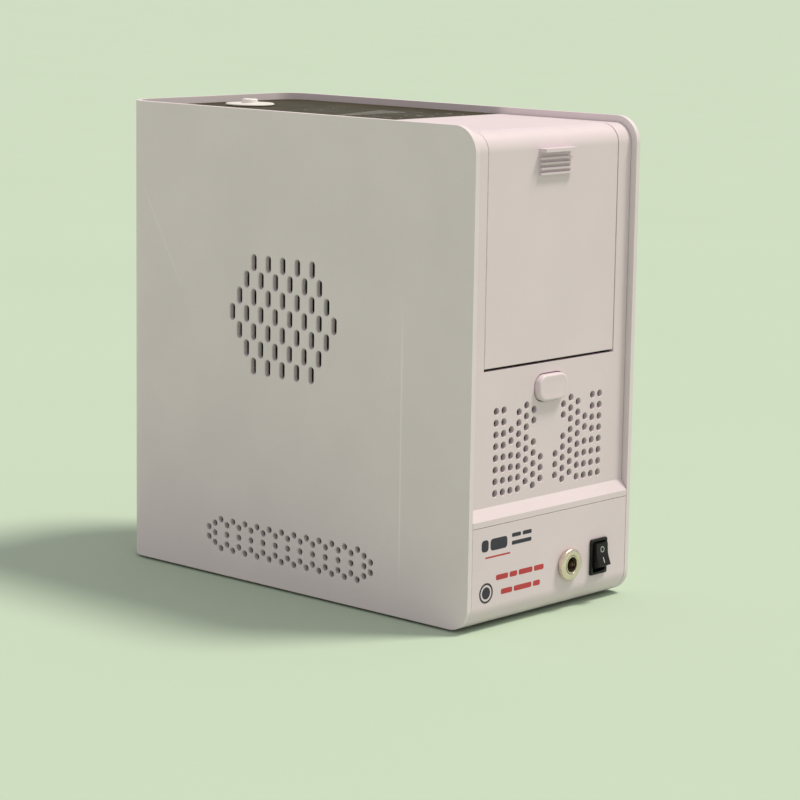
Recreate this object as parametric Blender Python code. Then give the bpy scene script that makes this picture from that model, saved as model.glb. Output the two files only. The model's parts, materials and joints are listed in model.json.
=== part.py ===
"""A tabletop veterinary anesthesia machine, as separate solids, in metres.

+X is to the right of someone facing the front, the front faces -Y, +Z is up, and the feet stand on Z = 0.
Most places along Y are given as a distance behind the front edge of the outer shell, through behind().
"""

import math

import bmesh
import bpy
from mathutils import Matrix, Vector

# Overall sizes of the casing.
WIDTH = 0.142
DEPTH = 0.279
HEIGHT = 0.2775
STANDOFF = 0.0015
WALL = 0.0032
RIM = 0.004
PLATE = 0.0028
GAP = 0.0003

# Rounded corners of the casing: seen from the side, and seen from above.
FRONT_TOP_RADIUS = 0.015
FRONT_BOTTOM_RADIUS = 0.013
REAR_BOTTOM_RADIUS = 0.009
REAR_CORNER_RADIUS = 0.018

# The origin is on the floor, under the middle of the length from the power switch to the rear fittings.
FRONT = -0.14642
BACK = FRONT + DEPTH
FITTING_REACH = 0.0199

INNER_X = WIDTH / 2 - WALL
PANEL_X = INNER_X - GAP
DECK_TOP = HEIGHT - RIM

# Heights on the front, from the bottom up.
CHIN_TOP = 0.0586
LEDGE_BOTTOM = 0.0622
LEDGE_TOP = 0.0684
SILL = 0.14375
DOOR_BOTTOM = 0.14525

# The door and its hinge.
DOOR_HALF = 0.056
DOOR_SIDE_GAP = 0.0005
HINGE_BEHIND = 0.0062
HINGE_HEIGHT = 0.1474
HINGE_PIN_RADIUS = 0.001
HINGE_HOLE_RADIUS = 0.0011
HINGE_STRIP_TOP = 0.151
HINGE_STRIP_BACK = 0.0083
PIN_INNER_END = 0.05
PIN_OUTER_END = 0.06
PIN_HOLE_END = 0.061
BOSS_LENGTH = 0.006
BOSS_HEIGHTS = (0.1445, 0.1505)
BOSS_BACK = 0.0093

# The door's catch.
MAGNET_RADIUS = 0.004
MAGNET_THICKNESS = 0.002
MAGNET_HEIGHT = 0.2545
STRIKE_BEHIND = 0.0098
STRIKE_THICKNESS = 0.0012
STRIKE_HALF = 0.009
STRIKE_HEIGHTS = (0.2495, 0.2597)

# The pull at the top of the door.
PULL_HALF = 0.0138
PULL_TOP = 0.2630
PULL_LIP_THICKNESS = 0.0019
PULL_REACH = 0.0052
RIB_PITCH = 0.0028
RIB_THICKNESS = 0.0012
RIB_REACH = 0.002
RIB_COUNT = 4
FIRST_RIB_TOP = PULL_TOP - 0.0049
PULL_ROOT = 0.0015

# The push button below the door.
BUTTON_HEIGHT = 0.13
BUTTON_HALF_WIDTH = 0.0127
BUTTON_HALF_TALL = 0.0074
BUTTON_CORNER = 0.0066
BUTTON_REACH = 0.0035
BUTTON_SLACK = 0.0005

# The grille: round holes in columns, mirrored left and right of an empty middle column.
GRILLE_HOLE_RADIUS = 0.0021
GRILLE_COLUMN_PITCH = 0.00645
GRILLE_EVEN_PITCH = 0.00654
GRILLE_EVEN_BOTTOM = 0.0752
GRILLE_STAGGER_PITCH = 0.00613
GRILLE_STAGGER_TOP = 0.1215

# The side vents.
SLOT_WIDTH = 0.0042
SLOT_LENGTH = 0.0097
SLOT_PITCH = 0.01168
SLOT_ROW_PITCH = 0.01003
SLOT_ROWS = (5, 6, 7, 8, 7, 6, 5)
HEX_VENT_BEHIND = 0.1443
HEX_VENT_HEIGHT = 0.1597
HOLE_RADIUS = 0.0019
HOLE_PITCH = 0.00583
HOLE_COLUMNS = 27
LONG_VENT_BEHIND = 0.1386
LONG_VENT_HEIGHT = 0.026

# The touch panel and the filler cap.
TOUCH_FRONT = 0.1022
TOUCH_THICKNESS = 0.0015
CAP_BEHIND = 0.244
CAP_RADIUS = 0.0148
CAP_THICKNESS = 0.001
HUB_RADIUS = 0.0048
HUB_TOP = 0.2774

# The round power inlet and the power switch.
INLET_X = 0.0150
INLET_HEIGHT = 0.0268
INLET_REACH = 0.0036
INLET_HOLE_RADIUS = 0.0055
SWITCH_X = 0.042
SWITCH_HEIGHT = 0.0271
SWITCH_HOLE_HALF = (0.0067, 0.0097)
SWITCH_HOLE_CORNER = 0.0005

# The switch's rocker, in its own upright frame: how far each point stands out from its pivot.
ROCKER_PIVOT_BEHIND = 0.003
ROCKER_TIP_OUT = 0.0079
ROCKER_HALF = 0.0064
ROCKER_TILT = math.radians(12.0)

# The fan behind the hexagonal vent.
FAN_HALF = 0.04
FAN_OUTER_X = -0.0672
FAN_DEPTH = 0.015
FAN_BLADES = 7

# Cutters run this far past the faces they cut, and this far out into the open air.
CUT_PAST = 0.01
INTO_AIR = 0.08

MATERIALS = {
    "shell": ((0.67, 0.63, 0.59), 0.5, 0.0),
    "fascia": ((0.72, 0.68, 0.65), 0.5, 0.0),
    "touch_glass": ((0.05, 0.043, 0.035), 0.12, 0.0),
    "cap": ((0.82, 0.79, 0.76), 0.4, 0.0),
    "rubber": ((0.03, 0.03, 0.03), 0.8, 0.0),
    "black_plastic": ((0.012, 0.012, 0.013), 0.35, 0.0),
    "nickel": ((0.62, 0.58, 0.47), 0.25, 1.0),
    "steel": ((0.55, 0.55, 0.56), 0.3, 1.0),
    "aluminium": ((0.7, 0.7, 0.72), 0.35, 1.0),
    "grey_plastic": ((0.3, 0.31, 0.32), 0.5, 0.0),
    "clear_plastic": ((0.75, 0.8, 0.82), 0.1, 0.0),
    "granules": ((0.75, 0.72, 0.68), 0.9, 0.0),
    "circuit_board": ((0.02, 0.16, 0.07), 0.4, 0.0),
    "copper": ((0.7, 0.35, 0.2), 0.35, 1.0),
    "hose": ((0.55, 0.62, 0.66), 0.3, 0.0),
}


def behind(distance):
    """The Y of a point this far behind the front edge of the outer shell."""
    return FRONT + distance


def clear_scene():
    for item in list(bpy.data.objects):
        bpy.data.objects.remove(item, do_unlink=True)


def material(name):
    found = bpy.data.materials.get(name)
    if found:
        return found
    colour, roughness, metallic = MATERIALS[name]
    made = bpy.data.materials.new(name)
    made.use_nodes = True
    shader = made.node_tree.nodes["Principled BSDF"]
    shader.inputs["Base Color"].default_value = (*colour, 1.0)
    shader.inputs["Roughness"].default_value = roughness
    shader.inputs["Metallic"].default_value = metallic
    return made


def add_object(name, bm, finish=None, smooth=False):
    """Make an object of a bmesh, with its faces pointing out; one with no finish is a cutter."""
    bmesh.ops.recalc_face_normals(bm, faces=bm.faces)
    mesh = bpy.data.meshes.new(name)
    bm.to_mesh(mesh)
    bm.free()
    if smooth:
        mesh.shade_smooth()
        mesh.set_sharp_from_angle(angle=math.radians(35.0))
    item = bpy.data.objects.new(name, mesh)
    bpy.context.scene.collection.objects.link(item)
    if finish:
        mesh.materials.append(material(finish))
    else:
        item.hide_render = True
        item.display_type = "WIRE"
    return item


def set_origin(item, x, y, z):
    """Move an object's origin to a point, such as one on its joint's axis, and leave its shape in place."""
    item.data.transform(Matrix.Translation((-x, -y, -z)))
    item.location = (x, y, z)


def arc(centre, radius, start, end, steps):
    """Points on an arc, angles in degrees, both ends included."""
    points = []
    for step in range(steps + 1):
        angle = math.radians(start + (end - start) * step / steps)
        points.append((centre[0] + radius * math.cos(angle), centre[1] + radius * math.sin(angle)))
    return points


def circle(centre, radius, sides):
    return arc(centre, radius, 0.0, 360.0 * (sides - 1) / sides, sides - 1)


def rounded_rectangle(centre, half_wide, half_tall, radius, steps):
    """An outline with four quarter-round corners."""
    points = []
    for sign_a, sign_b, start in ((1, 1, 0), (-1, 1, 90), (-1, -1, 180), (1, -1, 270)):
        corner = (centre[0] + sign_a * (half_wide - radius), centre[1] + sign_b * (half_tall - radius))
        points += arc(corner, radius, start, start + 90, steps)
    return points


def place(axis, pair, along):
    """A point of an outline that is extruded along an axis; the outline's pair is in X, Y, Z order."""
    if axis == "X":
        return (along, pair[0], pair[1])
    if axis == "Y":
        return (pair[0], along, pair[1])
    return (pair[0], pair[1], along)


def add_prism(bm, outline, axis, start, end):
    low = [bm.verts.new(place(axis, pair, start)) for pair in outline]
    high = [bm.verts.new(place(axis, pair, end)) for pair in outline]
    bm.faces.new(low[::-1])
    bm.faces.new(high)
    for index in range(len(outline)):
        after = (index + 1) % len(outline)
        bm.faces.new((low[index], low[after], high[after], high[index]))


def prism(name, outline, axis, start, end, finish=None, smooth=False):
    bm = bmesh.new()
    add_prism(bm, outline, axis, start, end)
    return add_object(name, bm, finish, smooth)


def prisms(name, outlines, axis, start, end, finish=None):
    """Separate prisms in one mesh, for a cutter with many holes or for the parts on a board."""
    bm = bmesh.new()
    for outline in outlines:
        add_prism(bm, outline, axis, start, end)
    return add_object(name, bm, finish)


def box(name, low, high, finish=None):
    outline = [(low[0], low[1]), (high[0], low[1]), (high[0], high[1]), (low[0], high[1])]
    return prism(name, outline, "Z", low[2], high[2], finish)


def boxes(name, corners, finish=None):
    bm = bmesh.new()
    for low, high in corners:
        outline = [(low[0], low[1]), (high[0], low[1]), (high[0], high[1]), (low[0], high[1])]
        add_prism(bm, outline, "Z", low[2], high[2])
    return add_object(name, bm, finish)


def turned(name, profile, centre, axis, sides, finish=None):
    """Turn a closed profile of (radius, distance along the axis) about an axis through centre.

    A profile that touches the axis closes there in a fan; one that doesn't makes a ring.
    """
    bm = bmesh.new()
    rings = []
    for radius, along in profile:
        count = sides if radius > 0.0 else 1
        ring = []
        for index in range(count):
            angle = 2 * math.pi * index / sides
            across = (radius * math.cos(angle), radius * math.sin(angle))
            ring.append(bm.verts.new(Vector(centre) + Vector(place(axis, across, along))))
        rings.append(ring)
    touches_axis = any(len(ring) == 1 for ring in rings)
    pairs = list(zip(rings, rings[1:])) + ([] if touches_axis else [(rings[-1], rings[0])])
    for first, second in pairs:
        for index in range(sides):
            after = (index + 1) % sides
            corners = [first[index % len(first)], first[after % len(first)]]
            corners += [second[after % len(second)], second[index % len(second)]]
            corners = list(dict.fromkeys(corners))
            if len(corners) > 2:
                bm.faces.new(corners)
    return add_object(name, bm, finish, smooth=True)


def solid_profile(radius, start, end):
    return [(0.0, start), (radius, start), (radius, end), (0.0, end)]


def ring_profile(inner, outer, start, end):
    return [(inner, start), (outer, start), (outer, end), (inner, end)]


def combine(target, other, operation):
    """Keep a Boolean on the target, and hide the object it works with."""
    other.hide_render = True
    other.display_type = "WIRE"
    change = target.modifiers.new(other.name, "BOOLEAN")
    change.operation = operation
    change.solver = "EXACT"
    change.object = other
    return target


def cut(target, other):
    return combine(target, other, "DIFFERENCE")


def unite(target, other):
    return combine(target, other, "UNION")


def smooth_route(points, per_span):
    """Points along a Catmull-Rom curve through a route's own points."""
    ends = [2 * points[0] - points[1]] + points + [2 * points[-1] - points[-2]]
    route = []
    for index in range(len(points) - 1):
        p0, p1, p2, p3 = ends[index : index + 4]
        for step in range(per_span):
            t = step / per_span
            bend = 2 * p1 + (p2 - p0) * t
            bend += (2 * p0 - 5 * p1 + 4 * p2 - p3) * t * t
            bend += (3 * p1 - p0 - 3 * p2 + p3) * t * t * t
            route.append(bend / 2)
    return route + [points[-1]]


def rod(name, route, radius, resolution, finish):
    """A round bar along a route, as a curve with a bevel and filled caps."""
    curve = bpy.data.curves.new(name, "CURVE")
    curve.dimensions = "3D"
    curve.bevel_depth = radius
    curve.bevel_resolution = resolution
    curve.use_fill_caps = True
    spline = curve.splines.new("POLY")
    spline.points.add(len(route) - 1)
    for point, target in zip(spline.points, route):
        point.co = (*target, 1.0)
    curve.materials.append(material(finish))
    item = bpy.data.objects.new(name, curve)
    bpy.context.scene.collection.objects.link(item)
    return item


def hose(name, points, radius):
    return rod(name, smooth_route([Vector(point) for point in points], 5), radius, 2, "hose")


# --- Outer shell -------------------------------------------------------------------------------


def plan_outline(half_width, front, back, radius):
    """The casing from above: square front corners and round rear corners."""
    points = [(-half_width, front), (half_width, front)]
    points += arc((half_width - radius, back - radius), radius, 0, 90, 6)
    points += arc((-half_width + radius, back - radius), radius, 90, 180, 6)
    return points


def side_outline():
    """The casing from the side, as pairs of Y and Z."""
    bottom = STANDOFF
    points = arc((FRONT + FRONT_BOTTOM_RADIUS, bottom + FRONT_BOTTOM_RADIUS), FRONT_BOTTOM_RADIUS, 180, 270, 6)
    points += arc((BACK - REAR_BOTTOM_RADIUS, bottom + REAR_BOTTOM_RADIUS), REAR_BOTTOM_RADIUS, 270, 360, 4)
    points += [(BACK, HEIGHT)]
    points += arc((FRONT + FRONT_TOP_RADIUS, HEIGHT - FRONT_TOP_RADIUS), FRONT_TOP_RADIUS, 90, 180, 7)
    return points


def cavity_side_outline():
    """The hollow from the side: open at the front, top and bottom, with the wall curling under at the rear."""
    below = -CUT_PAST
    above = HEIGHT + CUT_PAST
    lip_radius = REAR_BOTTOM_RADIUS - WALL
    lip_centre = (BACK - REAR_BOTTOM_RADIUS, STANDOFF + REAR_BOTTOM_RADIUS)
    points = [(behind(-CUT_PAST), below), (lip_centre[0], below)]
    points += arc(lip_centre, lip_radius, 270, 360, 4)
    points += [(BACK - WALL, above), (behind(-CUT_PAST), above)]
    return points


def slot_outlines():
    """Upright slots in seven rows that make a hexagon; each row is set off by half a pitch."""
    outlines = []
    end_radius = SLOT_WIDTH / 2
    half_straight = SLOT_LENGTH / 2 - end_radius
    middle_row = (len(SLOT_ROWS) - 1) / 2
    for row, count in enumerate(SLOT_ROWS):
        z = HEX_VENT_HEIGHT + (middle_row - row) * SLOT_ROW_PITCH
        for index in range(count):
            y = behind(HEX_VENT_BEHIND) + (index - (count - 1) / 2) * SLOT_PITCH
            outline = arc((y, z + half_straight), end_radius, 0, 180, 2)
            outline += arc((y, z - half_straight), end_radius, 180, 360, 2)
            outlines.append(outline)
    return outlines


def long_vent_outlines():
    """Round holes on a hexagonal grid: two at each end, then three and two by turns, one pitch apart."""
    outlines = []
    column_pitch = HOLE_PITCH * math.sqrt(3) / 2
    for column in range(HOLE_COLUMNS):
        y = behind(LONG_VENT_BEHIND) + ((HOLE_COLUMNS - 1) / 2 - column) * column_pitch
        if column in (0, HOLE_COLUMNS - 1):
            rows = (-0.5, 0.5)
        elif column % 2:
            rows = (-1.0, 0.0, 1.0)
        else:
            rows = (-1.5, 1.5)
        for row in rows:
            outlines.append(circle((y, LONG_VENT_HEIGHT + row * HOLE_PITCH), HOLE_RADIUS, 6))
    return outlines


REAR_FITTINGS = {
    "oxygen_inlet": (-0.038, 0.06, 0.0065),
    "fresh_gas_outlet": (0.0, 0.06, 0.0095),
    "scavenging_outlet": (0.038, 0.06, 0.0095),
}


def make_shell():
    half = WIDTH / 2
    outer = plan_outline(half, FRONT, BACK, REAR_CORNER_RADIUS)
    shell = prism("outer_shell", outer, "Z", STANDOFF - 0.001, HEIGHT + 0.001, "shell")
    combine(shell, prism("shell_side_form", side_outline(), "X", -INTO_AIR, INTO_AIR), "INTERSECT")
    inner = plan_outline(half - WALL, behind(-0.008), BACK - WALL, REAR_CORNER_RADIUS - WALL)
    cavity = prism("shell_cavity", inner, "Z", -0.008, HEIGHT + 0.008)
    cavity_side = prism("shell_cavity_side_form", cavity_side_outline(), "X", -INTO_AIR, INTO_AIR)
    combine(cavity, cavity_side, "INTERSECT")
    cut(shell, cavity)
    cut(shell, prisms("hexagonal_vent_cutter", slot_outlines(), "X", -INTO_AIR, INTO_AIR))
    cut(shell, prisms("long_vent_cutter", long_vent_outlines(), "X", -INTO_AIR, INTO_AIR))
    openings = [circle((x, z), radius + GAP, 16) for x, z, radius in REAR_FITTINGS.values()]
    cut(shell, prisms("rear_fitting_cutter", openings, "Y", BACK - CUT_PAST, BACK + CUT_PAST))


# --- Base and feet -----------------------------------------------------------------------------

FOOT_PLACES = {
    "foot_front_left": (-0.052, 0.032),
    "foot_front_right": (0.052, 0.032),
    "foot_rear_left": (-0.052, 0.248),
    "foot_rear_right": (0.052, 0.248),
}
SCREW_PLACES = {
    "base_screw_front_left": (-0.052, 0.060),
    "base_screw_front_right": (0.052, 0.060),
    "base_screw_rear_left": (-0.052, 0.222),
    "base_screw_rear_right": (0.052, 0.222),
}
FOOT_RADIUS = 0.006
FOOT_HEIGHT = 0.0025
FOOT_SIDES = 16
SCREW_RADIUS = 0.0015
SCREW_HEAD_RADIUS = 0.0028
SCREW_HEAD_TOP = 0.0016
SCREW_LENGTH = 0.009
SCREW_SIDES = 10


def make_base():
    base_back = BACK - REAR_BOTTOM_RADIUS - GAP
    base_front = behind(FRONT_BOTTOM_RADIUS + GAP)
    outline = plan_outline(PANEL_X, base_front, base_back, REAR_CORNER_RADIUS - WALL - GAP)
    base = prism("base_plate", outline, "Z", STANDOFF, STANDOFF + PLATE, "fascia")
    for name, (x, distance) in FOOT_PLACES.items():
        centre = (x, behind(distance), 0.0)
        recess = solid_profile(FOOT_RADIUS + GAP, 0.0, FOOT_HEIGHT + GAP)
        cut(base, turned(name + "_recess", recess, centre, "Z", FOOT_SIDES))
        turned(name, solid_profile(FOOT_RADIUS, 0.0, FOOT_HEIGHT), centre, "Z", FOOT_SIDES, "rubber")
    for name, (x, distance) in SCREW_PLACES.items():
        centre = (x, behind(distance), STANDOFF)
        head_hole = SCREW_HEAD_RADIUS + GAP
        shank_hole = SCREW_RADIUS + GAP
        hole = [(0.0, -0.001), (head_hole, -0.001), (head_hole, SCREW_HEAD_TOP + GAP)]
        hole += [(shank_hole, SCREW_HEAD_TOP + GAP), (shank_hole, CUT_PAST), (0.0, CUT_PAST)]
        cut(base, turned(name + "_hole", hole, centre, "Z", SCREW_SIDES))
        screw = [(0.0, GAP), (SCREW_HEAD_RADIUS, GAP), (SCREW_HEAD_RADIUS, SCREW_HEAD_TOP)]
        screw += [(SCREW_RADIUS, SCREW_HEAD_TOP), (SCREW_RADIUS, SCREW_LENGTH), (0.0, SCREW_LENGTH)]
        turned(name, screw, centre, "Z", SCREW_SIDES, "steel")


# --- Front: chin panel, fascia, door -----------------------------------------------------------


def make_chin():
    """The lower front panel, which curls under at the bottom."""
    centre = (behind(FRONT_BOTTOM_RADIUS), STANDOFF + FRONT_BOTTOM_RADIUS)
    outline = [(FRONT, CHIN_TOP)] + arc(centre, FRONT_BOTTOM_RADIUS, 180, 270, 6)
    outline += arc(centre, FRONT_BOTTOM_RADIUS - PLATE, 270, 180, 6) + [(behind(PLATE), CHIN_TOP)]
    chin = prism("chin_panel", outline, "X", -PANEL_X, PANEL_X, "fascia", smooth=True)
    openings = [circle((INLET_X, INLET_HEIGHT), INLET_HOLE_RADIUS, 16)]
    openings.append(rounded_rectangle((SWITCH_X, SWITCH_HEIGHT), *SWITCH_HOLE_HALF, SWITCH_HOLE_CORNER, 1))
    cut(chin, prisms("chin_openings_cutter", openings, "Y", behind(-CUT_PAST), behind(CUT_PAST)))


def front_profile(outer_bottom, inner_bottom, end_gap):
    """The recessed front from the side: a flat wall, then a quarter round that ends level with the deck."""
    round_radius = FRONT_TOP_RADIUS - RIM
    centre = (behind(FRONT_TOP_RADIUS), HEIGHT - FRONT_TOP_RADIUS)
    top_angle = 90 + math.degrees(end_gap / round_radius)
    outer = outer_bottom + arc(centre, round_radius, 180, top_angle, 6)
    inner = arc(centre, round_radius - PLATE, top_angle, 180, 6) + inner_bottom
    return outer + inner


def even_hole_columns():
    """Columns of the grille that share level rows: column number from the middle, then row numbers."""
    whole = range(8)
    return {7: whole, 6: whole, 5: range(4), 4: range(2)}


def staggered_hole_columns():
    """Columns set off by half a row from their neighbours: column number, then steps down from the top."""
    return {
        5: (2, 3),
        4: (0.5, 1.5, 2.5, 3.5, 4.5, 5.5),
        3: range(8),
        2: (0.5, 1.5, 3.5, 4.5, 5.5, 6.5, 7.5),
        1: (5, 6, 7),
    }


def grille_centres():
    centres = []
    for side in (-1, 1):
        for column, rows in even_hole_columns().items():
            x = side * column * GRILLE_COLUMN_PITCH
            centres += [(x, GRILLE_EVEN_BOTTOM + row * GRILLE_EVEN_PITCH) for row in rows]
        for column, steps in staggered_hole_columns().items():
            x = side * column * GRILLE_COLUMN_PITCH
            centres += [(x, GRILLE_STAGGER_TOP - step * GRILLE_STAGGER_PITCH) for step in steps]
    return centres


def make_fascia():
    """The fixed front: a strip each side of the door, the grille, and the ledge that slopes out to the chin."""
    foot = CHIN_TOP + GAP
    outer_bottom = [(FRONT, foot), (FRONT, LEDGE_BOTTOM), (behind(RIM), LEDGE_TOP)]
    inner_bottom = [(behind(RIM + PLATE), LEDGE_TOP - 0.0008), (behind(PLATE), LEDGE_BOTTOM - 0.0008)]
    inner_bottom += [(behind(PLATE), foot)]
    outline = front_profile(outer_bottom, inner_bottom, 0.0)
    fascia = prism("front_fascia", outline, "X", -PANEL_X, PANEL_X, "fascia", smooth=True)
    opening = DOOR_HALF + DOOR_SIDE_GAP
    bosses = []
    for side in (-1, 1):
        near, far = sorted((side * opening, side * (opening + BOSS_LENGTH)))
        low = (near, behind(RIM + PLATE - 0.0005), BOSS_HEIGHTS[0])
        bosses.append((low, (far, behind(BOSS_BACK), BOSS_HEIGHTS[1])))
    unite(fascia, boxes("hinge_bosses", bosses))
    opening_high = (opening, behind(2 * FRONT_TOP_RADIUS), HEIGHT + CUT_PAST)
    cut(fascia, box("door_opening_cutter", (-opening, behind(-CUT_PAST), SILL), opening_high))
    pin_hole = circle((behind(HINGE_BEHIND), HINGE_HEIGHT), HINGE_HOLE_RADIUS, 12)
    cut(fascia, prism("fascia_pin_cutter", pin_hole, "X", -PIN_HOLE_END, PIN_HOLE_END))
    holes = [circle(centre, GRILLE_HOLE_RADIUS, 6) for centre in grille_centres()]
    holes.append(
        rounded_rectangle(
            (0.0, BUTTON_HEIGHT), BUTTON_HALF_WIDTH + BUTTON_SLACK, BUTTON_HALF_TALL + BUTTON_SLACK,
            BUTTON_CORNER + BUTTON_SLACK, 4,
        )
    )
    cut(fascia, prisms("grille_cutter", holes, "Y", behind(RIM - 0.005), behind(RIM + PLATE + 0.005)))


def make_door():
    """The door turns about two pins in the thick strip along its lower edge."""
    face = behind(RIM)
    outer_bottom = [(face, DOOR_BOTTOM)]
    inner_bottom = [(behind(RIM + PLATE), HINGE_STRIP_TOP), (behind(HINGE_STRIP_BACK), HINGE_STRIP_TOP)]
    inner_bottom += [(behind(HINGE_STRIP_BACK), DOOR_BOTTOM)]
    outline = front_profile(outer_bottom, inner_bottom, GAP)
    door = prism("door", outline, "X", -DOOR_HALF, DOOR_HALF, "fascia", smooth=True)
    back = face + PULL_ROOT
    lip_low = (-PULL_HALF, face - PULL_REACH, PULL_TOP - PULL_LIP_THICKNESS)
    steps = [(lip_low, (PULL_HALF, back, PULL_TOP))]
    for rib in range(RIB_COUNT):
        top = FIRST_RIB_TOP - rib * RIB_PITCH
        steps.append(((-PULL_HALF, face - RIB_REACH, top - RIB_THICKNESS), (PULL_HALF, back, top)))
    unite(door, boxes("door_pull", steps))
    for side, name in ((-1, "left"), (1, "right")):
        inner, outer = side * PIN_INNER_END, side * PIN_OUTER_END
        hole = circle((behind(HINGE_BEHIND), HINGE_HEIGHT), HINGE_HOLE_RADIUS, 12)
        low, high = sorted((inner - side * GAP, side * PIN_HOLE_END))
        cut(door, prism("door_pin_cutter_" + name, hole, "X", low, high))
        pin = circle((behind(HINGE_BEHIND), HINGE_HEIGHT), HINGE_PIN_RADIUS, 12)
        low, high = sorted((inner, outer))
        prism("hinge_pin_" + name, pin, "X", low, high, "steel", smooth=True)
    set_origin(door, 0.0, behind(HINGE_BEHIND), HINGE_HEIGHT)


def make_door_catch():
    centre = (0.0, behind(RIM + PLATE + GAP), MAGNET_HEIGHT)
    magnet = turned("door_magnet", solid_profile(MAGNET_RADIUS, 0.0, MAGNET_THICKNESS), centre, "Y", 16, "steel")
    set_origin(magnet, 0.0, behind(HINGE_BEHIND), HINGE_HEIGHT)
    low = (-STRIKE_HALF, behind(STRIKE_BEHIND), STRIKE_HEIGHTS[0])
    high = (STRIKE_HALF, behind(STRIKE_BEHIND + STRIKE_THICKNESS), STRIKE_HEIGHTS[1])
    box("strike_plate", low, high, "steel")


# --- Bay behind the door -----------------------------------------------------------------------

BAY_HALF = 0.0555
BAY_FRONT = 0.0096
BAY_DEPTH = 0.07
BAY_LOW = 0.149
BAY_HIGH = 0.262
BAY_WALL = 0.002
CANISTER_BEHIND = 0.0435
CANISTER_SIDES = 20
CUP_RADIUS = 0.029
CUP_WALL = 0.002
CUP_TOP = 0.234
GRANULES_TOP = 0.226
GASKET_INNER = 0.0245
GASKET_OUTER = 0.0285
GASKET_TOP = CUP_TOP + 0.0015
LID_RADIUS = 0.0305
LID_THICKNESS = 0.008
LID_CHAMFER = 0.002
LID_BAR_HALF = (0.018, 0.003)
LID_BAR_RISE = 0.006
LID_BAR_ROOT = 0.001


def make_bay():
    low = (-BAY_HALF, behind(BAY_FRONT), BAY_LOW)
    high = (BAY_HALF, behind(BAY_FRONT + BAY_DEPTH), BAY_HIGH)
    liner = box("bay_liner", low, high, "grey_plastic")
    hollow_low = (low[0] + BAY_WALL, low[1] - CUT_PAST, low[2] + BAY_WALL)
    hollow_high = (high[0] - BAY_WALL, high[1] - BAY_WALL, high[2] - BAY_WALL)
    cut(liner, box("bay_hollow", hollow_low, hollow_high))


def make_canister():
    """The absorber canister stands on the bay's floor: a clear cup of granules under a sealed lid."""
    floor = BAY_LOW + BAY_WALL + GAP
    centre = (0.0, behind(CANISTER_BEHIND), 0.0)
    inner = CUP_RADIUS - CUP_WALL
    cup = [(0.0, floor), (CUP_RADIUS, floor), (CUP_RADIUS, CUP_TOP), (inner, CUP_TOP)]
    cup += [(inner, floor + CUP_WALL), (0.0, floor + CUP_WALL)]
    turned("canister_cup", cup, centre, "Z", CANISTER_SIDES, "clear_plastic")
    bed = solid_profile(inner - GAP, floor + CUP_WALL + GAP, GRANULES_TOP)
    turned("canister_granules", bed, centre, "Z", CANISTER_SIDES, "granules")
    gasket = ring_profile(GASKET_INNER, GASKET_OUTER, CUP_TOP + GAP, GASKET_TOP)
    turned("canister_gasket", gasket, centre, "Z", CANISTER_SIDES, "rubber")
    lid_low = GASKET_TOP + GAP
    lid_high = lid_low + LID_THICKNESS
    lid = [(0.0, lid_low), (LID_RADIUS, lid_low), (LID_RADIUS, lid_high - LID_CHAMFER)]
    lid += [(LID_RADIUS - LID_CHAMFER, lid_high), (0.0, lid_high)]
    lid = turned("canister_lid", lid, centre, "Z", CANISTER_SIDES, "grey_plastic")
    half_x, half_y = LID_BAR_HALF
    bar_low = (-half_x, centre[1] - half_y, lid_high - LID_BAR_ROOT)
    bar_high = (half_x, centre[1] + half_y, lid_high + LID_BAR_RISE)
    unite(lid, box("canister_lid_bar", bar_low, bar_high))


# --- Push button and its valve -----------------------------------------------------------------

BUTTON_SHOULDER = 0.001
BUTTON_BACK = 0.009
STEM_RADIUS = 0.003
STEM_START = 0.006
STEM_END = 0.0215
SPRING_RADIUS = 0.0046
SPRING_WIRE = 0.00035
SPRING_SLACK = 0.0001
SPRING_COILS = 4.5
SPRING_POINTS_PER_TURN = 10
VALVE_FRONT = 0.0172
VALVE_END = 0.042
VALVE_HALF = (0.011, 0.010)
VALVE_BORE_SLACK = 0.0004
VALVE_BORE_END = STEM_END + 0.004


def make_button():
    face = RIM - BUTTON_REACH
    bm = bmesh.new()
    rings = []
    for distance, inset in ((face, BUTTON_SHOULDER), (face + BUTTON_SHOULDER, 0.0), (BUTTON_BACK, 0.0)):
        outline = rounded_rectangle(
            (0.0, BUTTON_HEIGHT), BUTTON_HALF_WIDTH - inset, BUTTON_HALF_TALL - inset, BUTTON_CORNER - inset, 4
        )
        rings.append([bm.verts.new((x, behind(distance), z)) for x, z in outline])
    bm.faces.new(rings[0])
    bm.faces.new(rings[-1])
    for first, second in zip(rings, rings[1:]):
        for index in range(len(first)):
            after = (index + 1) % len(first)
            bm.faces.new((first[index], first[after], second[after], second[index]))
    button = add_object("push_button", bm, "cap", smooth=True)
    centre = (0.0, 0.0, BUTTON_HEIGHT)
    stem = solid_profile(STEM_RADIUS, behind(STEM_START), behind(STEM_END))
    unite(button, turned("button_stem", stem, centre, "Y", 12))


def make_button_spring():
    clear = SPRING_WIRE + SPRING_SLACK
    start = BUTTON_BACK + clear
    length = VALVE_FRONT - BUTTON_BACK - 2 * clear
    route = []
    for step in range(int(SPRING_COILS * SPRING_POINTS_PER_TURN) + 1):
        turn = step / SPRING_POINTS_PER_TURN
        angle = 2 * math.pi * turn
        x = SPRING_RADIUS * math.cos(angle)
        z = BUTTON_HEIGHT + SPRING_RADIUS * math.sin(angle)
        route.append((x, behind(start + length * turn / SPRING_COILS), z))
    rod("button_spring", route, SPRING_WIRE, 0, "steel")


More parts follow.
